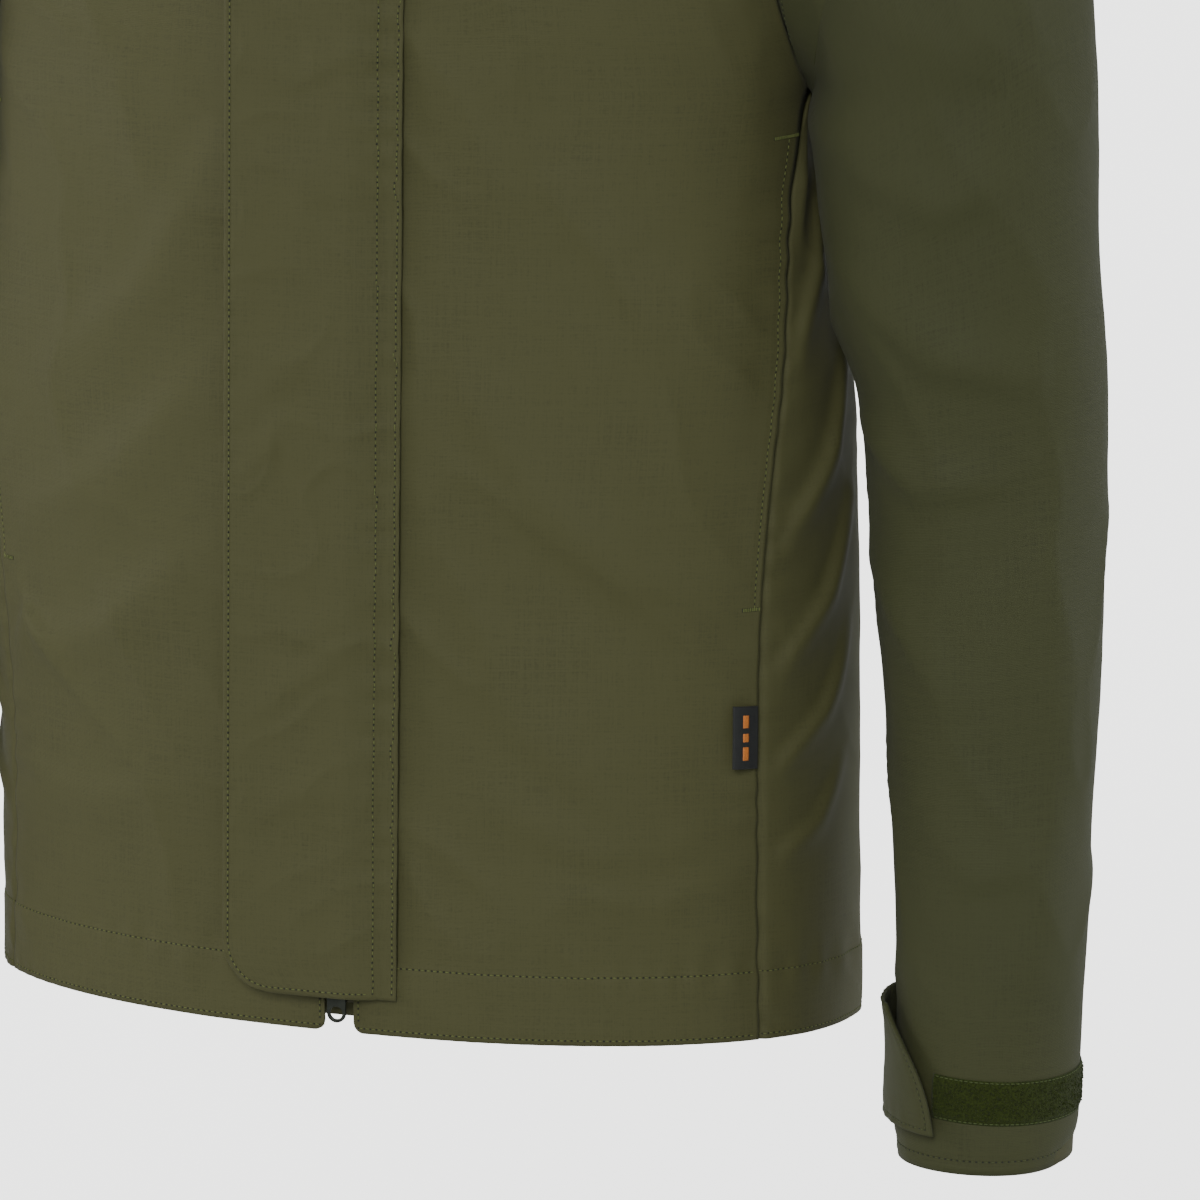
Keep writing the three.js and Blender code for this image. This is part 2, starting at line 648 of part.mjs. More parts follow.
function sleeves() {
  const round = 2 * Math.PI;
  const shell = (u, v) => sleevePoint(round * u, (1 - v) * RINGS);
  pair('sleeve', cloth(shell, 22, RINGS + 1, 0, SHELL, true), OLIVE);
  const lined = (u, v) => sleevePoint(round * u, mix(cuffPlace(CUFF_HEM + 3), 1.6, v));
  pair('sleeve_lining', cloth(lined, 18, 9, FACING_OFFSET, FACING_OFFSET + LINING, true), LINING_OLIVE);
  const hem = (u, v) => sleevePoint(round * u, cuffPlace(mix(1, CUFF_HEM, v)));
  pair('cuff_facing', cloth(hem, 22, 1, SHELL + 2 * GAP, SHELL + 2 * GAP + LINING, true), OLIVE);
}

const TAPE_LIFT = 0.9; // clears the sleeve's flat facets

function cuffClosures() {
  const tape = cuffBand(TAPE_BAND_LOW, TAPE_BAND_LOW + TAPE_BAND_HEIGHT, TAB_TIP_LOW_ANGLE - 6, 150);
  pair('loop_tape', cloth(tape, 18, 1, -TAPE_LIFT - 1.2, -TAPE_LIFT), LOOP_GREEN, 1);
  const radians = THREE.MathUtils.degToRad;
  const tab = (u, v) => {
    const end = mix(TAB_TIP_LOW_ANGLE, TAB_TIP_TOP_ANGLE, v) + TAB_TIP_BULGE * Math.sin(Math.PI * v);
    return sleevePoint(radians(mix(TAB_ROOT_ANGLE, end, u)), cuffPlace(TAB_LOW + TAB_HEIGHT * v));
  };
  const lift = (thickness) => (u) => -mix(GAP, TAB_STANDOFF, clamp(u / 0.15, 0, 1)) - thickness;
  pair('cuff_tab', cloth(tab, 10, 3, lift(SHELL), lift(0)), OLIVE);
  const hook = (u, v) => tab(mix(0.62, 0.96, u), mix(0.18, 0.5, v));
  pair('cuff_tab_hook', cloth(hook, 4, 1, -TAB_STANDOFF + GAP, -TAB_STANDOFF + GAP + 0.9), DARK, 1);
}

// ---- collar and neck

function neckBase(s) {
  // s runs 0 at the left front edge, round the back, to 1 at the right front edge
  const side = s < 0.5 ? 1 : -1;
  const t = 2 * Math.min(s, 1 - s);
  const frontShare = 0.46;
  if (t < frontShare) {
    const x = mix(edgeX, NECK_X, Math.sin(t / frontShare * Math.PI / 2));
    return [side * x, frontY(x, frontNeckZ(x)), frontNeckZ(x)];
  }
  const x = NECK_X * Math.cos((t - frontShare) / (1 - frontShare) * Math.PI / 2);
  return [side * x, backY(x, backNeckZ(x)), backNeckZ(x)];
}

function collarSheet(low, high) {
  return (u, v) => {
    const [x, y, z] = neckBase(u);
    const dip = COLLAR_SIDE_DIP * Math.sin(Math.PI * clamp(2 * Math.min(u, 1 - u) / 0.92, 0, 1)) ** 2;
    const rise = mix(low, high - dip, v);
    const inward = new THREE.Vector2(-x, -10 - y).normalize().multiplyScalar(FRONT_LEAN * rise);
    return [x + (Math.abs(x) > edgeX + 5 ? inward.x : 0), y + inward.y, z + rise];
  };
}

function collar() {
  add('collar_outer', cloth(collarSheet(3, COLLAR_HEIGHT), 28, 3, 0, SHELL), OLIVE);
  const lining = (u, v) => collarSheet(4, COLLAR_HEIGHT - 1)(mix(0.012, 0.988, u), v);
  add('collar_lining', cloth(lining, 28, 3, FACING_OFFSET, FACING_OFFSET + LINING), LINING_OLIVE);
}

const LOOP_HALF_WIDTH = 24;
const LOOP_RISE = 18;
const LOOP_BAND = 8;
const LOOP_THICKNESS = 1.5;
const LOOP_Y = backY(0, backNeckZ(0)) - FACING_OFFSET - LINING - GAP - LOOP_BAND - 10;
const LOOP_FOOT = NECK_Z - BACK_NECK_DROP + 6;

// A ribbon that arches over the hook, its feet in the collar seam.
function hangerLoop() {
  const shape = new THREE.Shape();
  const steps = 12;
  const arch = (t, lower) => [
    -Math.cos(Math.PI * t) * (LOOP_HALF_WIDTH - lower),
    Math.sin(Math.PI * t) * (LOOP_RISE - lower) + LOOP_FOOT,
  ];
  for (let i = 0; i <= steps; i++) {
    const [x, z] = arch(i / steps, 0);
    if (i === 0) shape.moveTo(x, z);
    else shape.lineTo(x, z);
  }
  for (let i = steps; i >= 0; i--) shape.lineTo(...arch(i / steps, LOOP_THICKNESS));
  shape.closePath();
  const geometry = new THREE.ExtrudeGeometry(shape, { depth: LOOP_BAND, bevelEnabled: false, steps: 1 });
  geometry.rotateX(Math.PI / 2).translate(0, LOOP_Y + LOOP_BAND, 0);
  add('hanger_loop', geometry, DARK);
}

function labels() {
  const back = (u, v) => {
    const [x, z] = [mix(24, -24, u), mix(625, 665, v)];
    return [x, backY(x, z), z];
  };
  const under = CHEST_LINING_OFFSET + LINING + 2 * GAP + 1.5;
  add('neck_label', cloth(back, 3, 3, under, under + 0.8), DARK);
  const side = (u, v) => {
    const z = mix(132, 162, v);
    const x = frontSeamX(z) - mix(11, 1.2, u);
    return [x, frontY(x, z), z];
  };
  add('side_label', cloth(side, 2, 2, -GAP - 1.2, -GAP), DARK);
}

// ---- pockets, each a flat pouch behind the front, open at the seam

const POCKET_LOW = 165;
const POCKET_HIGH = 428;
const POCKET_WIDTH = 128;
const POUCH = 3.2; // both layers and the space between them
const MOUTH_LOW = 190;
const MOUTH_HIGH = 418;

function pocketBags() {
  const pouch = (in0, in1, z0, z1) => (u, v) => {
    const z = mix(z0, z1, v);
    const x = frontSeamX(z) - mix(in0, in1, ease(u));
    return [x, frontY(x, z), z];
  };
  const outer = SHELL + 1.2;
  const bag = cloth(pouch(POCKET_WIDTH, 6, POCKET_LOW, POCKET_HIGH), 7, 7, outer, outer + POUCH);
  const hollow = cloth(
    pouch(POCKET_WIDTH - 2, 3, MOUTH_LOW, MOUTH_HIGH), 7, 7, outer + LINING, outer + POUCH - LINING);
  pair('pocket_bag', cut(bag, hollow), LINING_OLIVE);
}

// ---- the closure, in a group that leans with the centre front: its y = 0 is the fronts' outer skin

function closureGroup() {
  const closure = new THREE.Group();
  closure.rotation.x = -Math.atan(FRONT_LEAN);
  closure.position.y = -BODY_HALF_DEPTH;
  garment.add(closure);
  return closure;
}
const closure = closureGroup();

function zipTapes() {
  const tape = frontStrip(CHAIN_SPLIT / 2 + 0.5, CHAIN_SPLIT / 2 + 0.5 + TAPE_WIDTH, ZIP_BOTTOM, ZIP_TOP);
  pair('zip_tape', cloth(tape, 2, 6, TAPE_DEPTH, TAPE_DEPTH + TAPE_THICKNESS), OLIVE);
  const [x0, x1] = [CHAIN_SPLIT / 2, CHAIN_SPLIT / 2 + CHAIN_WIDTH];
  const [y0, y1] = [-0.8, TAPE_DEPTH - GAP];
  for (const [side, name] of [[1, 'left'], [-1, 'right']]) {
    const span = (a, b) => (side > 0 ? [a, b] : [-b, -a]);
    add(`zip_teeth_${name}`, box(...span(x0, x1), y0, y1, ZIP_BOTTOM + 14, ZIP_TOP - 8), DARK, closure, 0.5);
    add(`zip_pin_${name}`, box(...span(x0, x1), y0, y1, ZIP_BOTTOM, ZIP_BOTTOM + 13.4), GUNMETAL, closure, 0.4, 1);
    add(`zip_stop_${name}`, box(...span(x0, x1), y0, y1, ZIP_TOP - 7.6, ZIP_TOP - 3), GUNMETAL, closure, 0.4, 1);
  }
}

const PIVOT_Y = -3.9;

// Two plates round the teeth, a bridge between the rows, and an arch that holds the puller.
function sliderGeometry(upsideDown) {
  const half = SLIDER_LENGTH / 2;
  const plate = (y0, y1) => {
    const shape = new THREE.Shape();
    shape.moveTo(-SLIDER_WIDTH / 2 + 1, -half);
    shape.lineTo(SLIDER_WIDTH / 2 - 1, -half);
    shape.lineTo(SLIDER_WIDTH / 2, half - 3);
    shape.lineTo(SLIDER_WIDTH / 2 - 2, half);
    shape.lineTo(-SLIDER_WIDTH / 2 + 2, half);
    shape.lineTo(-SLIDER_WIDTH / 2, half - 3);
    shape.closePath();
    return new THREE.ExtrudeGeometry(shape, { depth: y1 - y0, bevelEnabled: false })
      .rotateX(Math.PI / 2).translate(0, y1, 0);
  };
  const [front, back] = [-1.3, TAPE_DEPTH + TAPE_THICKNESS + GAP];
  const bridge = box(-0.5, 0.5, front - 0.5, back + 0.5, half - 6, half - 1);
  const arch = [
    box(-1.2, 1.2, -6.2, front - PLATE / 2, -5, -3.4),
    box(-1.2, 1.2, -6.2, front - PLATE / 2, 3.4, 5),
    box(-1.2, 1.2, -6.3, -5.2, -5, 5),
  ];
  const geometry = join(plate(front - PLATE, front), plate(back, back + PLATE), bridge, ...arch);
  return upsideDown ? geometry.rotateY(Math.PI) : geometry;
}

function pullerGeometry() {
  const half = PULLER_WIDTH / 2;
  const shape = new THREE.Shape();
  shape.moveTo(-half, 0.8);
  shape.lineTo(half, 0.8);
  shape.absarc(0, -PULLER_LENGTH + half, half, 0, -Math.PI, true);
  shape.lineTo(-half, 0.8);
  const eye = new THREE.Path();
  eye.moveTo(-2.9, -0.8);
  eye.lineTo(-2.9, -7.5);
  eye.lineTo(2.9, -7.5);
  eye.lineTo(2.9, -0.8);
  const hole = new THREE.Path();
  hole.absarc(0, -PULLER_LENGTH + half, half - 1.6, 0, 2 * Math.PI, false);
  shape.holes.push(eye, hole);
  return new THREE.ExtrudeGeometry(shape, { depth: 1.6, bevelEnabled: false, curveSegments: 8 })
    .rotateX(Math.PI / 2).translate(0, PIVOT_Y + 0.8, 0);
}

function sliders() {
  for (const [name, z, upsideDown] of [['top', TOP_SLIDER_Z, false], ['bottom', BOTTOM_SLIDER_Z, true]]) {
    const slider = add(`zip_slider_${name}`, sliderGeometry(upsideDown), GUNMETAL, closure, 0.4, 1);
    const puller = add(`zip_puller_${name}`, pullerGeometry(), GUNMETAL, closure, 0.4, 1);
    slider.position.z = z;
    puller.position.z = z;
  }
}

function flapOutline() {
  const shape = new THREE.Shape();
  const right = FLAP_STITCH_X - GAP;
  shape.moveTo(FLAP_FREE_X + FLAP_CORNER, FLAP_BOTTOM);
  shape.lineTo(right, FLAP_BOTTOM);
  shape.lineTo(right, FLAP_TOP);
  shape.lineTo(FLAP_FREE_X, FLAP_TOP);
  shape.lineTo(FLAP_FREE_X, FLAP_BOTTOM + FLAP_CORNER);
  shape.absarc(FLAP_FREE_X + FLAP_CORNER, FLAP_BOTTOM + FLAP_CORNER, FLAP_CORNER, Math.PI, 1.5 * Math.PI);
  return shape;
}

function stormFlap() {
  const plate = new THREE.ExtrudeGeometry(flapOutline(), {
    depth: SHELL, bevelEnabled: false, curveSegments: 8,
  }).rotateX(Math.PI / 2).translate(0, -FLAP_STANDOFF, 0);
  add('storm_flap', plate, OLIVE, closure);
  const band = box(FLAP_STITCH_X, FLAP_SEWN_X, -FLAP_STANDOFF + GAP, -0.4, FLAP_BOTTOM, FLAP_TOP - 4);
  add('flap_seam_band', band, OLIVE, closure);
  const pitch = (FLAP_TOP - FLAP_BOTTOM) / PATCH_COUNT;
  const patchX = FLAP_FREE_X + 8;
  for (let i = 0; i < PATCH_COUNT; i++) {
    const low = FLAP_BOTTOM + (i + 0.5) * pitch - PATCH_HEIGHT / 2;
    const hook = box(patchX, patchX + PATCH_WIDTH, -FLAP_STANDOFF + GAP / 2 + 0.1,
      -FLAP_STANDOFF + GAP / 2 + 0.1 + PATCH_THICKNESS, low, low + PATCH_HEIGHT);
    add(`flap_hook_patch_${i + 1}`, hook, DARK, closure, 1);
    const strip = frontStrip(patchX, patchX + PATCH_WIDTH, low, low + PATCH_HEIGHT);
    add(`front_loop_patch_${i + 1}`, cloth(strip, 2, 3, -GAP - PATCH_THICKNESS, -GAP), LOOP_GREEN, garment, 1);
  }
}

bodyPanels();
linings();
facings();
hemFacing();
hemCord();
cordLocks();
sleeves();
cuffClosures();
collar();
hangerLoop();
labels();
pocketBags();
zipTapes();
sliders();
stormFlap();

// The hook bears on the underside of the loop's crown.
garment.position.set(0, -(LOOP_Y + LOOP_BAND / 2), -(LOOP_FOOT + LOOP_RISE - LOOP_THICKNESS));

export default group;
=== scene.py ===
# An olive waterproof jacket, hanging as if worn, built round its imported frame.
# Shapes are worked out in garment millimetres (z = 0 at the front hem, the front faces -Y, the
# wearer's left is +X) and then placed in the frame, in metres.
import math

import bmesh
import bpy
import numpy as np
from mathutils import Matrix, Vector, noise
from mathutils.bvhtree import BVHTree


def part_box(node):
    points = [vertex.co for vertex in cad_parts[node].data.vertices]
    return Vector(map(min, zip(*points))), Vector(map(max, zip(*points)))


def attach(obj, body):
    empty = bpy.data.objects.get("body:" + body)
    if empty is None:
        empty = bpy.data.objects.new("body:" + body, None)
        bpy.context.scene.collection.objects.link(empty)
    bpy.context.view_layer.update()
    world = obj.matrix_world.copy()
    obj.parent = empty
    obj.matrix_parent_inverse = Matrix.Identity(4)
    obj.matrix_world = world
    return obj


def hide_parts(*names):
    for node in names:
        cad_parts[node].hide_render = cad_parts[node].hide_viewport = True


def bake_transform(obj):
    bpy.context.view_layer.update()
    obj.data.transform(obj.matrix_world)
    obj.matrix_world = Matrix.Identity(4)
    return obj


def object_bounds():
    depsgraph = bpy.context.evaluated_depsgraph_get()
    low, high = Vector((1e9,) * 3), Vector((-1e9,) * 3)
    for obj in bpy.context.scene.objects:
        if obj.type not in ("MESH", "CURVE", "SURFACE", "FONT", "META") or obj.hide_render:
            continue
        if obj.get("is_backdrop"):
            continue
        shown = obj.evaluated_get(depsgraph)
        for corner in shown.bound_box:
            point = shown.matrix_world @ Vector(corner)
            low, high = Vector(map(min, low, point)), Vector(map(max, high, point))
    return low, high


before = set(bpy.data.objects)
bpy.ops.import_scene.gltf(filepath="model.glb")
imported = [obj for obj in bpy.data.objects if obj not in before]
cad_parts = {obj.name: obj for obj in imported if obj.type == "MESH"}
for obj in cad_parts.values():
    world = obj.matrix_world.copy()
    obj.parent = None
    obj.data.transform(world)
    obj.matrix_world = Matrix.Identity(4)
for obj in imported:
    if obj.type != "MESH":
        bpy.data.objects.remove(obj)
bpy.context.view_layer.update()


# ---- Studio: a pale floor far below the hem, an even sky, a softbox near the wearer's right, a broad
# sun from the front, a weak one from the wearer's left, and a long lens at the height of the waist.
CUFF_Z, BODY_HALF_DEPTH, FLOOR_Z, FLOOR_HALF_WIDTH = -48, 121, -900, 60
FLOOR_TONES, FLOOR_GLOW, SKY, SKY_STRENGTH = (0.80, 0.82), 2.95, (0.95, 1, 0.95), 0.42
SHIFT = np.array([
    0.0,
    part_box("back_panel")[1][1] * 1000 - BODY_HALF_DEPTH,
    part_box("sleeve_left")[0][2] * 1000 - CUFF_Z,
])


def place(points):
    return (np.asarray(points, float) + SHIFT) / 1000


def aimed(name, data, away, spot=(0, 0, 0)):
    """A camera or lamp that looks back along the direction it is away in."""
    made = bpy.data.objects.new(name, data)
    made.location = spot
    made.rotation_euler = away.to_track_quat("Z", "Y").to_euler()
    bpy.context.collection.objects.link(made)
    return made


def direction(azimuth, elevation):
    """Azimuth 0 is in front of the jacket and 90 is at the wearer's left, both in degrees."""
    a, e = math.radians(azimuth), math.radians(elevation)
    return Vector((math.sin(a) * math.cos(e), -math.cos(a) * math.cos(e), math.sin(e)))


def camera():
    target, distance, away = Vector(place((80.6, 27.2, 183.6))), 3.159, direction(18.62, 12.91)
    data = bpy.data.cameras.new("camera")
    data.lens, data.sensor_width, data.clip_end = 195.2, 36, 200
    bpy.context.scene.camera = aimed("camera", data, away, target + distance * away)


def sun(name, strength, angle, azimuth, elevation, colour=(1, 1, 1)):
    data = bpy.data.lights.new(name, "SUN")
    data.energy, data.angle, data.color = strength, math.radians(angle), colour
    aimed(name, data, direction(azimuth, elevation))


def softbox(name, watts, size, spot, aim, colour):
    data = bpy.data.lights.new(name, "AREA")
    data.shape, data.energy, data.size, data.color = "SQUARE", watts, size, colour
    aimed(name, data, Vector(place(spot)) - Vector(place(aim)), Vector(place(spot)))


def new_material(name):
    material = bpy.data.materials.new(name)
    material.use_nodes = True
    tree = material.node_tree
    shader = tree.nodes["Principled BSDF"]

    def node(kind, inputs=(), **settings):
        made = tree.nodes.new(kind)
        for key, value in settings.items():
            setattr(made, key, value)
        for socket, value in dict(inputs).items():
            if isinstance(value, bpy.types.NodeSocket):
                tree.links.new(value, made.inputs[socket])
            else:
                made.inputs[socket].default_value = value
        return made

    return material, tree, shader, node


def toned(parts, source, dark, pale, low=0.0, high=1.0):
    """Base colour from dark to pale as the source rises from low to high."""
    _, tree, shader, node = parts
    ramp = node("ShaderNodeValToRGB", {"Fac": source})
    for element, position, colour in zip(ramp.color_ramp.elements, (low, high), (dark, pale)):
        element.position, element.color = position, tuple(colour) + (1,)
    tree.links.new(ramp.outputs["Color"], shader.inputs["Base Color"])
    return ramp.outputs["Color"]


def bumped(parts, height, strength, distance):
    _, tree, shader, node = parts
    relief = node("ShaderNodeBump", {"Height": height, "Strength": strength, "Distance": distance})
    tree.links.new(relief.outputs[0], shader.inputs["Normal"])


def times(colour, factor):
    return tuple(c * factor for c in colour)


def object_from(bm, name, *materials):
    """A new object with the faces of a bmesh, which is then let go."""
    mesh = bpy.data.meshes.new(name)
    bm.to_mesh(mesh)
    bm.free()
    for material in materials:
        mesh.materials.append(material)
    made = bpy.data.objects.new(name, mesh)
    bpy.context.collection.objects.link(made)
    return made


def pour(bm, whole):
    """Move the faces of one bmesh into another."""
    mesh = bpy.data.meshes.new("part")
    bm.to_mesh(mesh)
    bm.free()
    whole.from_mesh(mesh)
    bpy.data.meshes.remove(mesh)


def studio_floor():
    parts = material, tree, shader, node = new_material("pale_floor")
    spot = node("ShaderNodeTexCoord").outputs["Object"]
    speck = node("ShaderNodeTexNoise", {"Vector": spot, "Scale": 0.7})
    tone = toned(parts, speck.outputs["Fac"], *[(value,) * 3 for value in FLOOR_TONES])
    # The floor glows for the camera alone, so that it looks pale and doesn't light the jacket.
    seen = node("ShaderNodeMath", {0: node("ShaderNodeLightPath").outputs["Is Camera Ray"], 1: FLOOR_GLOW},
                operation="MULTIPLY")
    tree.links.new(tone, shader.inputs["Emission Color"])
    tree.links.new(seen.outputs["Value"], shader.inputs["Emission Strength"])
    shader.inputs["Roughness"].default_value = 0.9
    shader.inputs["Specular IOR Level"].default_value = 0.1
    bm = bmesh.new()
    bmesh.ops.create_grid(bm, x_segments=8, y_segments=8, size=FLOOR_HALF_WIDTH)
    bmesh.ops.translate(bm, verts=bm.verts, vec=(0, 0, float(place((0, 0, FLOOR_Z))[2])))
    object_from(bm, "floor", material)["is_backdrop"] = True
    world = bpy.data.worlds.new("studio")
    world.use_nodes = True
    sky = world.node_tree.nodes["Background"]
    sky.inputs["Color"].default_value = SKY + (1,)
    sky.inputs["Strength"].default_value = SKY_STRENGTH
    bpy.context.scene.world = world


camera()
softbox("key_softbox", 6, 0.5, (-1250, -470, 420), (-20, -100, 250), (1.0, 0.95, 0.86))
sun("front_sun", 2.0, 24, 8, 30, (1.0, 0.99, 0.93))
sun("rim_sun", 1.0, 40, 106, 20)
studio_floor()


# ---- Fronts: two panels of coated plain weave, cut straight at the zip and curved at the side seam.
# Each hem is folded up and stitched 33 mm above its edge, and the zip edge is edge-stitched.
HEM_HALF_WIDTH, WAIST_HALF_WIDTH, WAIST_Z, UNDERARM_HALF_WIDTH = 216, 211, 290, 197
SHOULDER_HALF_WIDTH, BACK_HALF_DEPTH_CHEST, FRONT_LEAN, SECTION_POWER = 250, 115, 0.04, 2.3
HEM_DROP, UNDERARM_Z, ROUNDING_Z, ROUNDING_POWER = 25, 445, 470, 2.2
ARMHOLE_WAIST_Z, ARMHOLE_WAIST_X, SHOULDER_X, SHOULDER_Z = 550, 188, 225, 655
NECK_X, NECK_Z, FRONT_NECK_DROP, BACK_NECK_DROP = 80, 701, 64, 8
FRONT_NECK_RISE, BACK_NECK_RISE, STRAIGHT_X, CHEST_BLEND_X, BLEND_NARROWS_Z = 96, 36, 50, 140, 560
ZIP_EDGE_X, SHELL, HEM_BAND, HEM_CORNER, HEM_EDGE_ROW, ZIP_EDGE_ROW = 7.3, 1.2, 33, 5, 2.4, 2.4
POCKET_MOUTH, POCKET_ROW, FRONT_FOLDS_GAIN, SLACK = (206, 424), 2.6, 1.9, 15
OLIVE = (0.0470, 0.0472, 0.0188)


def mix(a, b, t):
    return a + (b - a) * t


def smooth(low, high, x):
    t = np.clip((x - low) / (high - low), 0, 1)
    return t * t * (3 - 2 * t)


def curve(keys):
    """A smooth line through [position, value] keys, with the slopes of their neighbours."""
    at, value = np.array(keys, float).T
    first, last = np.maximum(np.arange(len(at)) - 1, 0), np.minimum(np.arange(len(at)) + 1, len(at) - 1)
    slope = (value[last] - value[first]) / (at[last] - at[first])

    def read(x):
        x = np.clip(x, at[0], at[-1])
        i = np.clip(np.searchsorted(at, x, side="right") - 1, 0, len(at) - 2)
        h = at[i + 1] - at[i]
        t = (x - at[i]) / h
        return ((1 + 2 * t) * (1 - t) ** 2 * value[i] + t * (1 - t) ** 2 * h * slope[i]
                + t * t * (3 - 2 * t) * value[i + 1] - t * t * (1 - t) * h * slope[i + 1])

    return read


half_width = curve([(-HEM_DROP, HEM_HALF_WIDTH), (0, HEM_HALF_WIDTH), (WAIST_Z, WAIST_HALF_WIDTH),
                    (UNDERARM_Z, UNDERARM_HALF_WIDTH), (SHOULDER_Z, SHOULDER_HALF_WIDTH)])
back_depth = curve([(-HEM_DROP, BODY_HALF_DEPTH), (WAIST_Z, BODY_HALF_DEPTH - 3),
                    (ROUNDING_Z, BACK_HALF_DEPTH_CHEST), (NECK_Z, BACK_HALF_DEPTH_CHEST - 4)])
armhole_x = curve([(UNDERARM_Z, UNDERARM_HALF_WIDTH), (ARMHOLE_WAIST_Z, ARMHOLE_WAIST_X),
                   (SHOULDER_Z, SHOULDER_X)])
front_seam_share = curve([(-HEM_DROP, 0.885), (190, 0.885), (270, 0.91), (350, 0.955), (410, 0.985),
                          (UNDERARM_Z, 1)])


def front_depth(z):
    return BODY_HALF_DEPTH - FRONT_LEAN * z


def section(share):
    return (1 - np.clip(share, 0, 1) ** SECTION_POWER) ** (1 / SECTION_POWER)


def shoulder_line(x, rise):
    over_neck = NECK_Z + rise * (1 - (x / NECK_X) ** 2)
    down = NECK_Z - (x - NECK_X) * (NECK_Z - SHOULDER_Z) / (SHOULDER_X - NECK_X)
    return np.where(x < NECK_X, over_neck, down)


def rounding(x, z, rise):
    q = np.clip((z - ROUNDING_Z) / (shoulder_line(x, rise) - ROUNDING_Z), 0, 1)
    return np.where(z <= ROUNDING_Z, 1, np.sqrt(1 - q ** ROUNDING_POWER))


def front_y(x, z):
    x = np.abs(x)
    narrow = np.clip((z - BLEND_NARROWS_Z) / (NECK_Z - BLEND_NARROWS_Z), 0, 1)
    end = mix(CHEST_BLEND_X, NECK_X + 2, narrow)
    t = np.clip((end - x) / (end - STRAIGHT_X), 0, 1)
    rounded = mix(rounding(x, z, FRONT_NECK_RISE), 1, t * t * (3 - 2 * t))
    return -front_depth(z) * rounded * section(x / half_width(z))


def back_y(x, z):
    x = np.abs(x)
    return back_depth(z) * rounding(x, z, BACK_NECK_RISE) * section(x / half_width(z))


def hem_z(y):
    return -HEM_DROP * np.clip((1 + y / BODY_HALF_DEPTH) / 2, 0, 1) ** 2


def front_neck_z(x):
    return NECK_Z - FRONT_NECK_DROP * (1 - np.clip(x / NECK_X, 0, 1) ** 2) ** 0.9


def front_seam_x(z):
    below, above = half_width(z) * front_seam_share(z), armhole_x(np.minimum(z, SHOULDER_Z))
    return np.where(z < UNDERARM_Z, below, above)


def column_z(v, low, top, x, rise):
    """Height at v up a column from low to top, closer together towards the shoulder."""
    line = shoulder_line(x, rise)
    q = np.clip((top - ROUNDING_Z) / (line - ROUNDING_Z), 0, 1)
    turn = np.minimum(np.arcsin(q ** (ROUNDING_POWER / 2)), math.pi / 2 - 0.008)
    below = low < ROUNDING_Z
    split = np.where(below, 0.6, 0.0)
    start = np.where(below, 0.0, np.arcsin(
        np.clip((low - ROUNDING_Z) / (line - ROUNDING_Z), 0, 1) ** (ROUNDING_POWER / 2)))
    angle = mix(start, turn, np.clip((v - split) / (1 - split), 0, 1))
    high = ROUNDING_Z + (line - ROUNDING_Z) * np.sin(angle) ** (2 / ROUNDING_POWER)
    return np.where(v < split, mix(low, ROUNDING_Z, v / np.maximum(split, 1e-6)), high)


def column_top(x_at, neck_z, like):
    z = np.full_like(like, NECK_Z)
    for _ in range(40):
        x = x_at(z)
        z = mix(z, np.where(x < NECK_X, neck_z(x), shoulder_line(x, 0)), 0.5)
    return z


def front_sheet(in_x, out_x, low, trim=0):
    def at(u, v):
        eased = mix(u, np.sin(u * math.pi / 2), 0.6)

        def x_at(z):
            return mix(in_x(z), out_x(z), eased)

        top = column_top(x_at, front_neck_z, u) - trim
        z = top
        for _ in range(12):
            z = column_z(v, low(x_at(np.zeros_like(u))), top, x_at(z), FRONT_NECK_RISE)
        x = x_at(z)
        return np.stack([x, front_y(x, z), z], -1)

    return at


# The way round the body, 0 at the centre front: the arc of a level section by its angle.
section_angles = np.linspace(-math.pi / 2, math.pi / 2, 241)
section_x = half_width(200.0) * np.abs(np.cos(section_angles)) ** (2 / SECTION_POWER)
section_y = (np.sign(section_angles) * np.where(section_angles < 0, front_depth(200.0), back_depth(200.0))
             * np.abs(np.sin(section_angles)) ** (2 / SECTION_POWER))
section_arc = np.concatenate([[0], np.cumsum(np.hypot(np.diff(section_x), np.diff(section_y)))])


def girth(p):
    x, y, z = p.T
    depth = np.where(y < 0, front_depth(z), back_depth(z))
    up = np.sign(y) * np.clip(np.abs(y) / depth, 0, 1) ** (SECTION_POWER / 2)
    angle = np.arctan2(up, np.clip(np.abs(x) / half_width(z), 0, 1) ** (SECTION_POWER / 2))
    return np.sign(x) * np.interp(angle, section_angles, section_arc)


def cloudy(p, size, seed):
    """Smooth noise from -1 to 1 at the points, with features of the given size."""
    q = np.asarray(p, float) / np.asarray(size, float) + seed * 17.3
    return np.array([noise.noise(Vector(row)) for row in q])


def fold(s, z, path, height, width, steep=0.55):
    """A soft ridge along a path in the cloth, steeper on the path's right, fading at both ends."""
    path = np.array(path, float)
    lengths = np.hypot(*np.diff(path, axis=0).T)
    total, done = lengths.sum(), 0.0
    best = np.full(s.shape, 1e9)
    side, along = np.zeros(s.shape), np.zeros(s.shape)
    for a, b, length in zip(path[:-1], path[1:], lengths):
        d = (b - a) / length
        t = np.clip((s - a[0]) * d[0] + (z - a[1]) * d[1], 0, length)
        away_s, away_z = s - a[0] - t * d[0], z - a[1] - t * d[1]
        far = np.hypot(away_s, away_z)
        near = far < best
        best = np.where(near, far, best)
        side = np.where(near, d[0] * away_z - d[1] * away_s, side)
        along = np.where(near, (done + t) / total, along)
        done += length
    reach = np.where(side < 0, width * steep, width)
    return height * np.exp(-(best / reach) ** 2) * np.sin(math.pi * np.clip(along, 0.02, 0.98)) ** 0.6


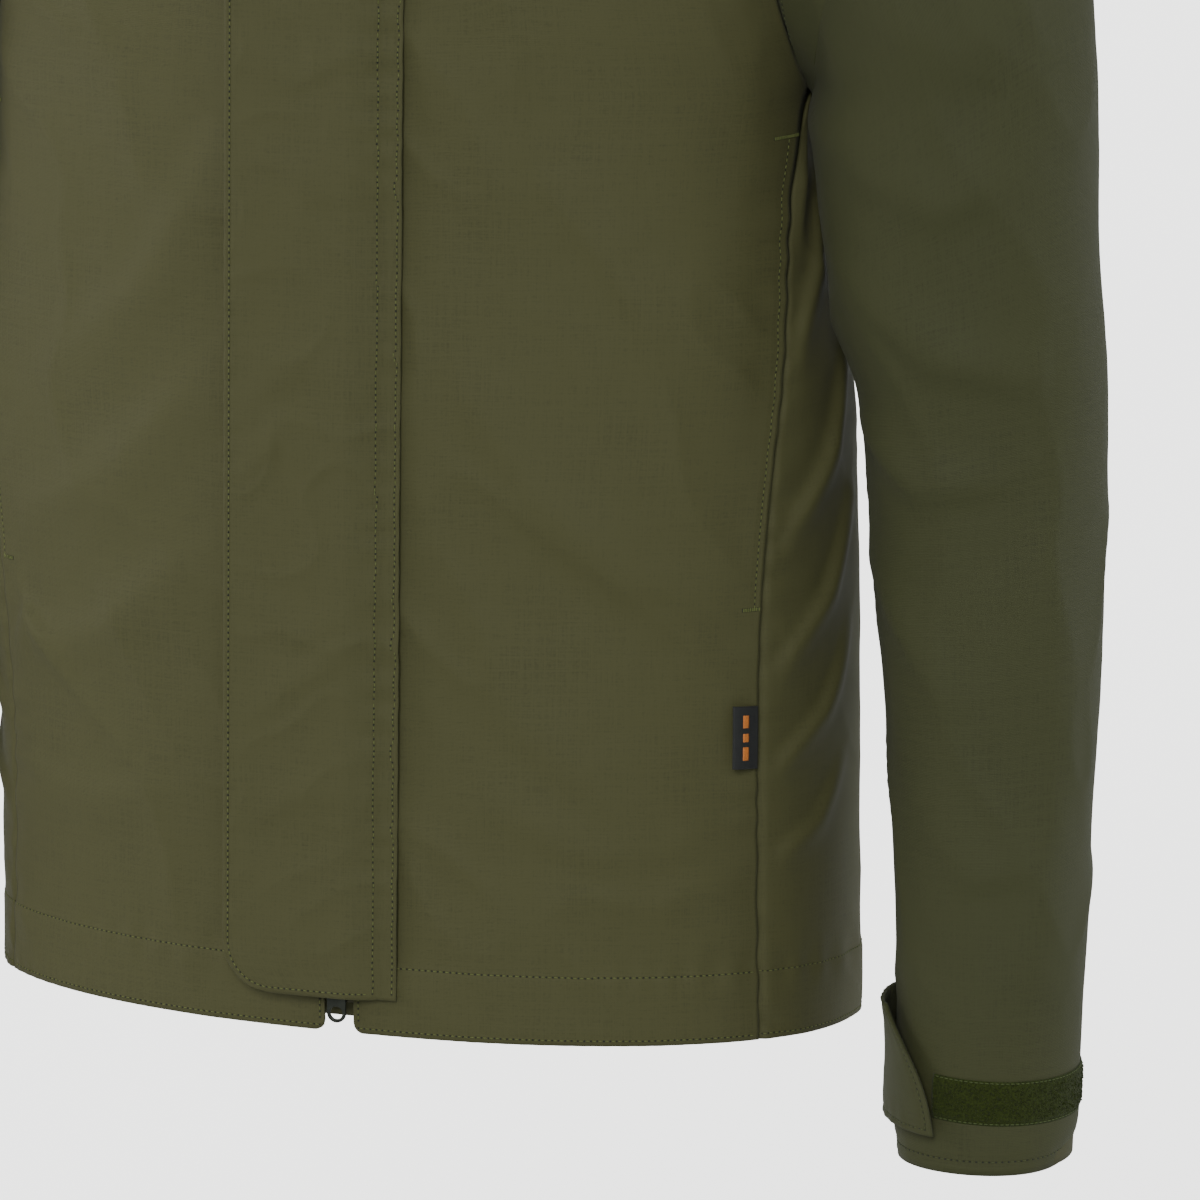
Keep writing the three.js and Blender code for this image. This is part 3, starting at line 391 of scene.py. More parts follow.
def pucker(along, across, wave, reach, height, seed=0.0):
    """Short creases that stand across a seam and die away beside it."""
    phase = (along * 2 * math.pi / wave + 2.2 * np.sin(along / 31 + seed)
             + 1.3 * np.sin(along / 13.7 + 2 * seed))
    uneven = 0.6 + 0.4 * np.sin(along / 47 + 3 * seed)
    return height * np.sin(phase) * uneven * np.exp(-(across / reach) ** 2)


def groove(across, depth=0.4, width=1.1):
    return -depth * np.exp(-(across / width) ** 2)


# Long soft folds of the body, as ((way round, height) path, how proud, how wide).
BODY_FOLDS = [
    ([(48, 330), (95, 262), (150, 205)], 1.5, 20), ([(80, 268), (140, 225), (205, 196)], 1.2, 15),
    ([(60, 210), (90, 150), (150, 100)], 0.9, 18), ([(35, 480), (70, 420), (120, 380)], 1.0, 24),
    ([(60, 120), (120, 92), (180, 96)], 0.7, 14), ([(110, 420), (160, 340), (190, 300)], 1.2, 22),
    ([(-60, 430), (-110, 350), (-175, 290)], 1.8, 24), ([(-62, 320), (-120, 262), (-190, 226)], 1.5, 20),
    ([(-70, 230), (-130, 180), (-200, 165)], 1.3, 18),
    ([(-150, 160), (-178, 182), (-196, 160), (-206, 120)], 1.6, 9),
    ([(-80, 110), (-140, 96), (-200, 110)], 0.8, 16),
]


def slack(p):
    """The wearer's right side stands out fuller under the arm than the left."""
    s, z = girth(p), p[:, 2]
    return SLACK * np.exp(-((s + 262) / 80) ** 2) * smooth(95, 260, z) * (1 - smooth(430, 540, z))


def body_relief(p, folds=BODY_FOLDS):
    s, z = girth(p), p[:, 2]
    slant = np.stack([s + 0.8 * z, 0.45 * (z - 0.8 * s), np.zeros_like(s)], -1)
    rise = 1.5 * cloudy(p, 130, 1) + 0.14 * cloudy(p, 16, 3)
    rise += 0.9 * (1 - 2 * np.abs(cloudy(slant, 62, 2))) ** 3
    for path, height, width in folds:
        rise += fold(s, z, path, height, width)
    return rise


def hem_relief(p):
    """The doubled hem, its stitch line and the creases that the stitching draws in."""
    s, up = girth(p), p[:, 2] - hem_z(p[:, 1])
    doubled = 0.8 * (1 - smooth(HEM_BAND - 1, HEM_BAND + 3, up))
    creases = pucker(s, up - HEM_BAND, 17, 9, 0.55, 1) + pucker(s, up - HEM_EDGE_ROW, 9, 5, 0.22, 4)
    return doubled + creases + groove(up - HEM_BAND, 0.5) + groove(up - HEM_EDGE_ROW, 0.3, 0.8)


def side_lengths(p, columns, rows):
    grid = p.reshape(rows + 1, columns + 1, 3)
    across = np.linalg.norm(np.diff(grid, axis=1), axis=-1).sum(1)
    along = np.linalg.norm(np.diff(grid, axis=0), axis=-1).sum(0)
    return across.mean(), along.mean()


def cloth(name, sheet, columns, rows, relief=None, thickness=SHELL, flip=False, ring=False, lift=0.0):
    """A layer of cloth on sheet(u, v): a grid laid on the surface, raised by relief, given its thickness
    inwards. flip makes the same piece for the wearer's right."""
    bm = bmesh.new()
    bmesh.ops.create_grid(bm, x_segments=columns, y_segments=rows, size=0.5)
    flat = np.array([vert.co for vert in bm.verts])
    u, v = np.round(flat[:, 0] + 0.5, 6), np.round(flat[:, 1] + 0.5, 6)
    p, e = sheet(u, v), 1e-3
    u0, u1 = (u - e, u + e) if ring else (np.maximum(u - e, 0), np.minimum(u + e, 1))
    du = sheet(u1, v) - sheet(u0, v)
    dv = sheet(u, np.minimum(v + e, 1)) - sheet(u, np.maximum(v - e, 0))
    n = np.cross(du, dv)
    n /= np.maximum(np.linalg.norm(n, axis=-1, keepdims=True), 1e-12)
    mirror = np.array([-1.0 if flip else 1.0, 1, 1])
    p, n = p * mirror, n * mirror
    order = np.lexsort((u, v))
    size_u, size_v = side_lengths(p[order], columns, rows)
    rise = lift(u, v) if callable(lift) else lift
    if relief is not None:
        rise = rise + relief(u, v, p)
    p = place(p + n * (np.zeros(len(u)) + rise)[:, None])
    layer = bm.loops.layers.uv.new("cloth")
    for face in bm.faces:
        for loop in face.loops:
            i = loop.vert.index
            loop[layer].uv = (u[i] * size_u / 1000, v[i] * size_v / 1000)
    for vert, co in zip(bm.verts, p):
        vert.co = co
    if flip:
        bmesh.ops.reverse_faces(bm, faces=bm.faces)
    if ring:
        bmesh.ops.remove_doubles(bm, verts=bm.verts, dist=1e-6)
    for face in bm.faces:
        face.smooth = True
    piece = object_from(bm, name)
    wall = piece.modifiers.new("thickness", "SOLIDIFY")
    wall.thickness, wall.offset = thickness / 1000, -1
    print(f"{name}: {size_u:.0f} x {size_v:.0f} mm")
    return piece


def surface_of(piece):
    bm = bmesh.new()
    bm.from_mesh(piece.data)
    tree = BVHTree.FromBMesh(bm)
    bm.free()
    return tree


THREAD_PROUD, HOLE_PROUD = 0.00008, 0.00004


def stitches(name, piece, paths, material, body, pitch=3.0, length=2.1, thread=0.55, hole=0.55):
    """Rows of thread along paths in garment millimetres: each stitch is a small bead laid on the piece,
    and between two stitches a flat disc painted near-black stands for the needle hole: painted shade."""
    tree, whole = surface_of(piece), bmesh.new()
    for path in paths:
        path = place(path)
        steps = np.linalg.norm(np.diff(path, axis=0), axis=-1)
        arc = np.concatenate([[0], np.cumsum(steps)])
        count = max(int(arc[-1] * 1000 / pitch), 1)
        bm = bmesh.new()
        for k in range(count):
            at = [Vector([np.interp((k + share) * arc[-1] / count, arc, path[:, a]) for a in range(3)])
                  for share in (0.3, 0.5, 0.7)]
            spot, up, _, _ = tree.find_nearest(at[1])
            ahead = (at[2] - at[0]).normalized()
            up = (up - ahead * up.dot(ahead)).normalized()
            turn = Matrix((ahead, up.cross(ahead), up)).transposed().to_4x4()
            scale = Matrix.Diagonal((length / 2000, thread / 2000, thread / 2000, 1))
            matrix = Matrix.Translation(spot + up * THREAD_PROUD) @ turn @ scale
            bmesh.ops.create_icosphere(bm, subdivisions=1, radius=1, matrix=matrix)
            beads = len(bm.faces)
            # Between stitches a flat near-black disc stands for the needle hole: painted shade, not a real
            # recess.
            flat = Matrix.Diagonal((hole / 1000, hole / 1000, 2 * HOLE_PROUD, 1))
            spot, up, _, _ = tree.find_nearest(at[1] - ahead * pitch / 2000)
            bmesh.ops.create_icosphere(bm, subdivisions=1, radius=1,
                                       matrix=Matrix.Translation(spot + up * HOLE_PROUD) @ turn @ flat)
            bm.faces.ensure_lookup_table()
            for face in bm.faces[beads:]:
                face.material_index = 1
        pour(bm, whole)
    for face in whole.faces:
        face.smooth = True
    rows = object_from(whole, name, material, needle_hole_painted_shade)
    if body:
        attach(rows, body)
    return rows


BANDS = 0.314  # the scale of a wave texture whose bands are a unit apart


def woven(name, colour, pitch=0.00055, mottle=0.14, roughness=0.62, bump=0.6, sheen=0.04, check=0.0):
    """Plain weave: crossed threads with a little unevenness in each, faint clouds of shade, and in a
    ripstop a thicker thread every few millimetres."""
    parts = material, tree, shader, node = new_material(name)
    cloth_map = node("ShaderNodeTexCoord").outputs["UV"]
    waves = []
    for axis in ("X", "Y"):
        wave = {"Vector": cloth_map, "Scale": BANDS / pitch, "Distortion": 0.6, "Detail": 1.0,
                "Detail Scale": 0.4}
        waves.append(node("ShaderNodeTexWave", wave, bands_direction=axis).outputs["Fac"])
    threads = node("ShaderNodeMath", {0: waves[0], 1: waves[1]}, operation="MULTIPLY").outputs[0]
    streaks = []
    for scale in ((60.0, 1600.0, 1.0), (1600.0, 60.0, 1.0)):
        lined = node("ShaderNodeMapping", {"Vector": cloth_map, "Scale": scale}).outputs[0]
        noise_in = {"Vector": lined, "Scale": 1.0, "Detail": 1.0}
        streaks.append(node("ShaderNodeTexNoise", noise_in).outputs["Fac"])
    streak = node("ShaderNodeMath", {0: streaks[0], 1: streaks[1]}, operation="ADD").outputs[0]
    clouds = node("ShaderNodeTexNoise", {"Vector": cloth_map, "Scale": 22.0, "Detail": 4.0}).outputs["Fac"]
    fine = node("ShaderNodeTexNoise", {"Vector": cloth_map, "Scale": 700.0, "Detail": 2.0}).outputs["Fac"]
    total = node("ShaderNodeMath", {0: threads, 1: 0.22}, operation="MULTIPLY").outputs[0]
    for source, weight in ((streak, 0.42), (clouds, 0.34), (fine, 0.5)):
        added = {0: source, 1: weight, 2: total}
        total = node("ShaderNodeMath", added, operation="MULTIPLY_ADD").outputs[0]
    if check:
        lines = []
        for axis in ("X", "Y"):
            wave = {"Vector": cloth_map, "Scale": BANDS / check, "Distortion": 0.0}
            band = node("ShaderNodeTexWave", wave, bands_direction=axis).outputs["Fac"]
            lines.append(node("ShaderNodeMath", {0: band, 1: 24.0}, operation="POWER").outputs[0])
        crossed = node("ShaderNodeMath", {0: lines[0], 1: lines[1]}, operation="MAXIMUM").outputs[0]
        total = node("ShaderNodeMath", {0: crossed, 1: 0.16, 2: total}, operation="MULTIPLY_ADD").outputs[0]
    toned(parts, total, times(colour, 1 - 2.4 * mottle), times(colour, 1 + 2.4 * mottle), 0.35, 0.9)
    rough = node("ShaderNodeMapRange", {"Value": clouds, "To Min": roughness - 0.06,
                                        "To Max": roughness + 0.08})
    tree.links.new(rough.outputs[0], shader.inputs["Roughness"])
    height = node("ShaderNodeMath", {0: fine, 1: 0.5, 2: threads}, operation="MULTIPLY_ADD").outputs[0]
    bumped(parts, height, bump, 0.00012)
    shader.inputs["Specular IOR Level"].default_value = 0.22
    shader.inputs["Sheen Weight"].default_value = sheen
    shader.inputs["Sheen Roughness"].default_value = 0.5
    return material


def thread_material(name, colour):
    parts = material, tree, shader, node = new_material(name)
    spot = node("ShaderNodeTexCoord").outputs["Object"]
    twist = node("ShaderNodeTexNoise", {"Vector": spot, "Scale": 1500.0, "Detail": 2.0}).outputs["Fac"]
    toned(parts, twist, times(colour, 0.55), times(colour, 1.35))
    bumped(parts, twist, 0.5, 0.0001)
    shader.inputs["Roughness"].default_value = 0.7
    return material


def finish(piece, material, body, slot, *nodes):
    """Material and CAD nodes of a piece, and its body if one is given; slot is not used."""
    piece.data.materials.append(material)
    if body:
        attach(piece, body)
    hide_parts(*nodes)


shell_cloth = woven("shell_cloth", OLIVE, check=0.0052)
olive_thread = thread_material("olive_thread", (0.110, 0.130, 0.034))
# The needle holes are flat discs coloured near-black: painted shade.
needle_hole_painted_shade = thread_material("needle_hole_painted_shade", (0.008, 0.010, 0.004))
SIDES = (("left", False), ("right", True))


def front_hem(x):
    into = np.clip(HEM_CORNER - (x - ZIP_EDGE_X), 0, HEM_CORNER)
    return hem_z(front_y(x, 0)) + HEM_CORNER - np.sqrt(HEM_CORNER ** 2 - into ** 2)


plain_front = front_sheet(lambda z: ZIP_EDGE_X, lambda z: front_seam_x(z) - 0.3, front_hem)


def front(u, v):
    """Closer columns at the zip edge, where the hem turns its small corner."""
    return plain_front(np.clip(u, 0, 1) ** 1.4, v)


def front_relief(u, v, p):
    x, y, z = p.T
    from_seam, from_zip = front_seam_x(z) - np.abs(x), np.abs(x) - ZIP_EDGE_X
    calm = smooth(0, 30, from_zip) * smooth(0, 60, z + 20) * smooth(0, 18, from_seam)
    welt = 0.9 * np.exp(-(from_seam / 5) ** 2) * smooth(150, 215, z) * (1 - smooth(415, 440, z))
    along = pucker(z, from_seam, 23, 13, 0.55, 2) * (1 - smooth(440, 480, z))
    at_zip = groove(from_zip - ZIP_EDGE_ROW, 0.3, 0.8) + pucker(z, from_zip, 21, 12, 0.25, 5)
    mouth = smooth(198, 208, z) * (1 - smooth(420, 430, z))
    return (FRONT_FOLDS_GAIN * body_relief(p) * calm + slack(p) + hem_relief(p) + welt + along + at_zip
            + groove(from_seam - POCKET_ROW, 0.45, 0.9) * mouth)


def on_front(xs, zs, sign):
    xs, zs = np.broadcast_arrays(np.asarray(xs, float), np.asarray(zs, float))
    return np.stack([sign * xs, front_y(xs, zs), zs], -1)


for side, flip in SIDES:
    panel = cloth(f"front_shell_{side}", front, 96, 300, front_relief, flip=flip)
    finish(panel, shell_cloth, "jacket", "shell_cloth", f"front_panel_{side}")
    sign = -1 if flip else 1
    xs = np.linspace(ZIP_EDGE_X + ZIP_EDGE_ROW, front_seam_x(np.array(20.0)) - 1.5, 120)
    foot = hem_z(front_y(xs, 0))
    rise = np.linspace(6, 630, 200)
    mouth_z = np.linspace(*POCKET_MOUTH, 80)
    rows = [on_front(xs, foot + HEM_EDGE_ROW, sign), on_front(xs, foot + HEM_BAND, sign),
            on_front(np.full(200, ZIP_EDGE_X + ZIP_EDGE_ROW), rise, sign),
            on_front(front_seam_x(mouth_z) - POCKET_ROW, mouth_z, sign)]
    stitches(f"front_stitching_{side}", panel, rows, olive_thread, "jacket")
    bars = []
    for z in POCKET_MOUTH:
        for row in range(3):
            edge = float(front_seam_x(np.array(float(z))))
            bars.append(on_front(np.array([edge - 7, edge - 0.5]), z + 0.5 * row, sign))
    stitches(f"pocket_bartacks_{side}", panel, bars, olive_thread, "jacket", pitch=1.1, length=1.3,
             thread=0.6)


# ---- Side panels: narrow panels between the side seam and the back seam, under each arm, in the same
# shell cloth. They carry most of the slack, so they hang in diagonal folds. Each is wider than the gap
# by an allowance at both seams, which is tucked under its neighbours.
YOKE_Z, BACK_SEAM_SHARE_HEM, SIDE_WIDTH, SEAM_ALLOWANCE, SIDE_TUCK = 575, 0.93, 98, 3, 1.9
SIDE_FOLDS_GAIN = 1.6


def back_seam_share(z):
    top = armhole_x(ROUNDING_Z) / half_width(ROUNDING_Z)
    return mix(BACK_SEAM_SHARE_HEM, top, np.clip(z / ROUNDING_Z, 0, 1))


def back_seam_x(z):
    below, above = half_width(z) * back_seam_share(z), armhole_x(np.minimum(z, SHOULDER_Z))
    return np.where(z < ROUNDING_Z, below, above)


def side_sheet(low):
    def at(u, v):
        share = mix(-0.03, 1.03, u)

        def angle_at(z):
            return mix(-np.arccos(np.clip(front_seam_share(z), 0, 1) ** (SECTION_POWER / 2)),
                       np.arccos(back_seam_share(z) ** (SECTION_POWER / 2)), share)

        def x_at(z):
            return half_width(z) * np.cos(angle_at(z)) ** (2 / SECTION_POWER)

        def y_at(z):
            depth = np.where(angle_at(z) < 0, -front_depth(z), back_depth(z))
            return depth * section(x_at(z) / half_width(z))

        inside, outside = np.full_like(u, UNDERARM_Z), np.full_like(u, ROUNDING_Z + 10)
        for _ in range(30):
            middle = (inside + outside) / 2
            below = x_at(middle) < armhole_x(middle)
            inside, outside = np.where(below, middle, inside), np.where(below, outside, middle)
        z = mix(low(y_at(np.zeros_like(u))), inside - 1.0, v)
        return np.stack([x_at(z), y_at(z), z], -1)

    return at


SIDE_FOLDS = [
    ([(272, 410), (250, 360), (222, 318)], 2.6, 9), ([(275, 330), (246, 272), (212, 232)], 3.0, 9.5),
    ([(275, 262), (244, 208), (206, 172)], 2.8, 9), ([(270, 195), (240, 152), (204, 124)], 2.4, 8.5),
    ([(262, 130), (236, 100), (206, 84)], 1.8, 8), ([(250, 440), (244, 400), (232, 372)], 1.8, 8),
]


def side_relief(u, v, p):
    z = p[:, 2]
    in_from_front = u * SIDE_WIDTH - SEAM_ALLOWANCE
    in_from_back = (1 - u) * SIDE_WIDTH - SEAM_ALLOWANCE
    calm = smooth(0, 14, in_from_front) * smooth(0, 14, in_from_back)
    s = np.abs(girth(p))
    folds = sum(fold(s, z, path, height, width) for path, height, width in SIDE_FOLDS)
    tucked = -SIDE_TUCK * (2 - smooth(0, 3, in_from_front) - smooth(0, 3, in_from_back))
    return ((body_relief(p, ()) + SIDE_FOLDS_GAIN * folds) * calm + slack(p) + hem_relief(p) + tucked
            + pucker(z, in_from_front, 19, 12, 0.9, 7) + pucker(z, in_from_back, 21, 10, 0.6, 9))


side_surface = side_sheet(hem_z)
for side, flip in SIDES:
    panel = cloth(f"side_shell_{side}", side_surface, 56, 220, side_relief, flip=flip)
    finish(panel, shell_cloth, "jacket", "shell_cloth", f"side_panel_{side}")
    sign = np.array([-1.0 if flip else 1.0, 1, 1])
    foot = side_surface(np.linspace(0.02, 0.98, 60), np.zeros(60))
    rows = [(foot + (0, 0, height)) * sign for height in (HEM_EDGE_ROW, HEM_BAND)]
    stitches(f"side_stitching_{side}", panel, rows, olive_thread, "jacket")


# ---- Back and yoke: one wide back panel, and above it a yoke that runs over the shoulder blades to
# the shoulder seams. The yoke's lower edge and the armholes are topstitched.
BACK_WIDTH, YOKE_ROW = 640, 2.6


def back_neck_z(x):
    return NECK_Z - BACK_NECK_DROP * (1 - np.clip(x / NECK_X, 0, 1) ** 2)


def back_sheet(out_x, low, trim=0):
    def at(u, v):
        across = np.cos(math.pi * u)

        def reach(z):
            return np.abs(out_x(z) * across)

        top = column_top(reach, back_neck_z, u) - trim
        z = top
        for _ in range(12):
            z = column_z(v, low(reach(np.zeros_like(u))), top, reach(z), BACK_NECK_RISE)
        x = out_x(z) * across
        return np.stack([x, back_y(x, z), z], -1)

    return at


def back_panel_sheet(u, v):
    across = np.cos(math.pi * u)
    z = mix(hem_z(back_y(back_seam_x(np.zeros_like(u)) * across, 0)), YOKE_Z - 0.3, v)
    x = (back_seam_x(z) - 0.3) * across
    return np.stack([x, back_y(x, z), z], -1)


BACK_FOLDS = [
    ([(430, 470), (480, 380), (500, 300)], 2.6, 24), ([(-430, 470), (-470, 390), (-505, 310)], 2.4, 24),
    ([(410, 330), (460, 260), (520, 230)], 2.2, 20), ([(-400, 300), (-450, 240), (-520, 220)], 2.2, 20),
    ([(420, 200), (470, 150), (530, 140)], 1.8, 18), ([(-410, 180), (-470, 130), (-530, 130)], 1.8, 18),
    ([(400, 90), (450, 70), (500, 74)], 1.2, 13), ([(-400, 84), (-450, 66), (-520, 72)], 1.2, 13),
]


def back_relief(u, v, p):
    z, from_seam = p[:, 2], np.minimum(u, 1 - u) * BACK_WIDTH
    calm = smooth(0, 20, from_seam) * smooth(0, 14, YOKE_Z - z)
    return (body_relief(p, BACK_FOLDS) * calm + hem_relief(p) + pucker(z, from_seam, 22, 11, 0.6, 11)
            + pucker(p[:, 0], z - YOKE_Z, 24, 12, 0.5, 12) - 0.5 * np.exp(-((z - YOKE_Z) / 3) ** 2))


def yoke_relief(u, v, p):
    above = p[:, 2] - YOKE_Z
    calm = smooth(0, 16, above) * (1 - smooth(0.9, 1, v)) * smooth(0, 0.05, np.minimum(u, 1 - u))
    welt = 0.9 * np.exp(-(above / 5) ** 2) + groove(above - YOKE_ROW, 0.4, 0.9)
    return body_relief(p, ()) * calm + welt + pucker(p[:, 0], above, 24, 12, 0.45, 13)


back = cloth("back_shell", back_panel_sheet, 190, 230, back_relief)
finish(back, shell_cloth, "jacket", "shell_cloth", "back_panel")
yoke_surface = back_sheet(lambda z: armhole_x(np.minimum(z, SHOULDER_Z)) - 0.3, lambda x: YOKE_Z + 0.3)
yoke = cloth("yoke_shell", yoke_surface, 170, 80, yoke_relief)
finish(yoke, shell_cloth, "jacket", "shell_cloth", "back_yoke")


def on_back(xs, zs):
    xs, zs = np.broadcast_arrays(np.asarray(xs, float), np.asarray(zs, float))
    return np.stack([xs, back_y(xs, zs), zs], -1)


xs = np.linspace(-196, 196, 260)
rows = [on_back(xs, hem_z(back_y(xs, 0)) + height) for height in (HEM_EDGE_ROW, HEM_BAND)]
stitches("back_stitching", back, rows, olive_thread, "jacket")
shoulder = yoke_surface(np.linspace(0.01, 0.22, 60), np.full(60, 0.975))
rows = [on_back(np.linspace(-182, 182, 200), np.full(200, YOKE_Z + YOKE_ROW + 0.3)), shoulder,
        shoulder * (-1, 1, 1)]
for u in (0.015, 0.985):
    rows.append(yoke_surface(np.full(80, u), np.linspace(0.02, 0.97, 80)))
stitches("yoke_stitching", yoke, rows, olive_thread, "jacket")


# ---- Storm flap: a doubled strip of shell cloth, sewn to the left front beside the zip, folded over
# it and closed on the right front by three hook-and-loop patches.
FLAP_FREE_X, FLAP_SEWN_X, FLAP_STITCH_X, FLAP_BOTTOM, FLAP_TOP, FLAP_CORNER = -56, 29.4, 20.8, 18, 645, 24
FLAP_STANDOFF, FLAP_RISE_WIDTH, FLAP_ROW, FLAP_FOLDS_GAIN = 8, 26, 2.6, 1.5
lean = math.atan(FRONT_LEAN)


def closure(points):
    """From the closure's own leaning frame, with y = 0 on the fronts' outer skin, to the garment's."""
    x, y, z = np.asarray(points, float).T
    return np.stack([x, y * math.cos(lean) + z * math.sin(lean) - BODY_HALF_DEPTH,
                     -y * math.sin(lean) + z * math.cos(lean)], -1)


def flap_sheet(u, v):
    z = mix(FLAP_BOTTOM, FLAP_TOP, v)
    up = np.clip(FLAP_CORNER - (z - FLAP_BOTTOM), 0, FLAP_CORNER)
    inset = FLAP_CORNER - np.sqrt(np.maximum(FLAP_CORNER ** 2 - up ** 2, 0))
    x = mix(FLAP_FREE_X + inset, FLAP_SEWN_X, u)
    rise = 2.4 + (FLAP_STANDOFF - 1.4) * smooth(0, FLAP_RISE_WIDTH, FLAP_SEWN_X - x)
    return closure(np.stack([x, -rise, z], -1))


FLAP_FOLDS = [
    ([(-52, 470), (-20, 452), (14, 470)], 0.9, 10), ([(-50, 430), (-10, 400), (16, 402)], 0.8, 11),
    ([(-50, 262), (-28, 286), (-8, 262)], 0.9, 9), ([(-48, 300), (-14, 322), (14, 300)], 0.8, 12),
    ([(-50, 214), (-20, 190), (10, 204)], 0.8, 10), ([(-46, 150), (-8, 176), (14, 196)], 0.9, 11),
    ([(-50, 96), (-14, 118), (12, 110)], 0.7, 11), ([(-40, 560), (-8, 540), (12, 556)], 0.8, 12),
]


def flap_relief(u, v, p):
    x, z = p[:, 0], p[:, 2]
    edge = np.minimum(np.minimum(x - FLAP_FREE_X, z - FLAP_BOTTOM), FLAP_TOP - z)
    rise = 0.8 * cloudy(p, 48, 5) + 0.2 * cloudy(p, 14, 6) + 0.7 * (1 - 2 * np.abs(cloudy(p, 34, 8))) ** 3
    for path, height, width in FLAP_FOLDS:
        rise += FLAP_FOLDS_GAIN * fold(x, z, path, height, width)
    rise *= smooth(-2, 14, edge)
    return (rise + 0.5 * np.exp(-(edge / 4) ** 2) + groove(edge - FLAP_ROW, 0.4, 0.9)
            + pucker(z, x - FLAP_FREE_X, 15, 8, 0.35, 15) + pucker(z, x - FLAP_STITCH_X, 17, 9, 0.5, 16)
            + groove(x - FLAP_STITCH_X, 0.7, 1.3) + 0.5 * np.exp(-((x - FLAP_SEWN_X) / 3) ** 2))


flap = cloth("flap_shell", flap_sheet, 60, 330, flap_relief, thickness=1.5)
finish(flap, shell_cloth, None, "shell_cloth", "storm_flap", "flap_seam_band")


def freeze(piece):
    """Make the piece's modifiers part of its mesh."""
    graph = bpy.context.evaluated_depsgraph_get()
    mesh = bpy.data.meshes.new_from_object(piece.evaluated_get(graph))
    piece.modifiers.clear()
    piece.data = mesh
    return piece


corner = np.linspace(math.pi, 1.5 * math.pi, 14)
round_radius = FLAP_CORNER - FLAP_ROW
centre_x, centre_z = FLAP_FREE_X + FLAP_CORNER, FLAP_BOTTOM + FLAP_CORNER


def flap_line(xs, zs):
    xs, zs = np.broadcast_arrays(np.asarray(xs, float), np.asarray(zs, float))
    return closure(np.stack([xs, np.full(xs.shape, -FLAP_STANDOFF - 1.5), zs], -1))


edge_x = np.concatenate([np.full(60, FLAP_FREE_X + FLAP_ROW), centre_x + round_radius * np.cos(corner),
                         np.linspace(centre_x + 2, 17.5, 20)])
edge_z = np.concatenate([np.linspace(FLAP_TOP - 4, centre_z, 60), centre_z + round_radius * np.sin(corner),
                         np.full(20, FLAP_BOTTOM + FLAP_ROW)])
stitches("flap_edge_stitching", flap, [flap_line(edge_x, edge_z)], olive_thread, "flap")
fold_rows, seam_rows = ([flap_line(np.full(120, x), np.linspace(FLAP_BOTTOM + 3, FLAP_TOP - 6, 120))]
                        for x in (FLAP_STITCH_X, FLAP_SEWN_X - 2.2))
hinge_stitching = stitches("flap_fold_stitching", flap, fold_rows, olive_thread, None)
stitches("flap_seam_stitching", flap, seam_rows, olive_thread, "jacket")
for piece in (freeze(flap), hinge_stitching):
    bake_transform(piece)


# ---- Hook and loop: three pairs of patches under the flap. The hooks are a stiff dark tape sewn to the
# flap, the loops a soft green pile sewn to the right front.
PATCH_COUNT, PATCH_WIDTH, PATCH_HEIGHT, PATCH_INSET, LOOP_SEAT, HOOK_SEAT = 3, 16, 50, 8, -1.9, -6.2
LOOP_GREEN = (0.0135, 0.0195, 0.0030)


def pile(name, colour, depth=0.7):
    """Brushed loops: the base colour runs from dark to pale over fine noise and cells, painted shade in the
    ground and painted highlights on scattered tips.
    """
    parts = material, tree, shader, node = new_material(name)
    spot = node("ShaderNodeTexCoord").outputs["Object"]
    fuzz = node("ShaderNodeTexNoise", {"Vector": spot, "Scale": 900.0, "Detail": 4.0,
                                       "Roughness": 0.7}).outputs["Fac"]
    tuft = node("ShaderNodeTexVoronoi", {"Vector": spot, "Scale": 1100.0}).outputs["Distance"]
    both = node("ShaderNodeMath", {0: tuft, 1: 0.5, 2: fuzz}, operation="MULTIPLY_ADD").outputs[0]
    # The ramp paints shade into the ground of the pile and highlights onto its tips.
    toned(parts, both, times(colour, 1 - depth), times(colour, 1 + 1.6 * depth), 0.3, 0.95)
    bumped(parts, both, 0.9, 0.0006)
    shader.inputs["Roughness"].default_value = 0.9
    shader.inputs["Specular IOR Level"].default_value = 0.15
    shader.inputs["Sheen Weight"].default_value = 0.06
    return material


def tufts(name, piece, sheet, count, radius, material, body, seed):
    """Loose loops over a tape, each a few faces, scattered with a fixed seed."""
    tree, draw = surface_of(piece), np.random.default_rng(seed)
    count = count
    spots = place(sheet(draw.uniform(0.03, 0.97, count), draw.uniform(0.12, 0.88, count)))
    whole = bmesh.new()
    for part in np.array_split(spots, max(count // 300, 1)):
        bm = bmesh.new()
        for co in part:
            spot, up, _, _ = tree.find_nearest(Vector(co))
            turn = up.to_track_quat("Z", "Y").to_matrix().to_4x4()
            spin = Matrix.Rotation(draw.uniform(0, math.pi), 4, "Z")
            size = radius / 1000 * draw.uniform(0.7, 1.2)
            scale = Matrix.Diagonal((size, size * 0.35, size * draw.uniform(0.6, 1.1), 1))
            bmesh.ops.create_icosphere(bm, subdivisions=1, radius=1,
                                       matrix=Matrix.Translation(spot) @ turn @ spin @ scale)
        pour(bm, whole)
    loops = object_from(whole, name, material)
    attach(loops, body)


def patch_sheet(low, depth):
    def at(u, v):
        x = FLAP_FREE_X + PATCH_INSET + PATCH_WIDTH * u
        z = mix(low, low + PATCH_HEIGHT, v)
        return closure(np.stack([x, np.full_like(x, depth), z], -1))

    return at


def rough_pile(size):
    return lambda u, v, p: 0.25 * cloudy(p, size, 21)


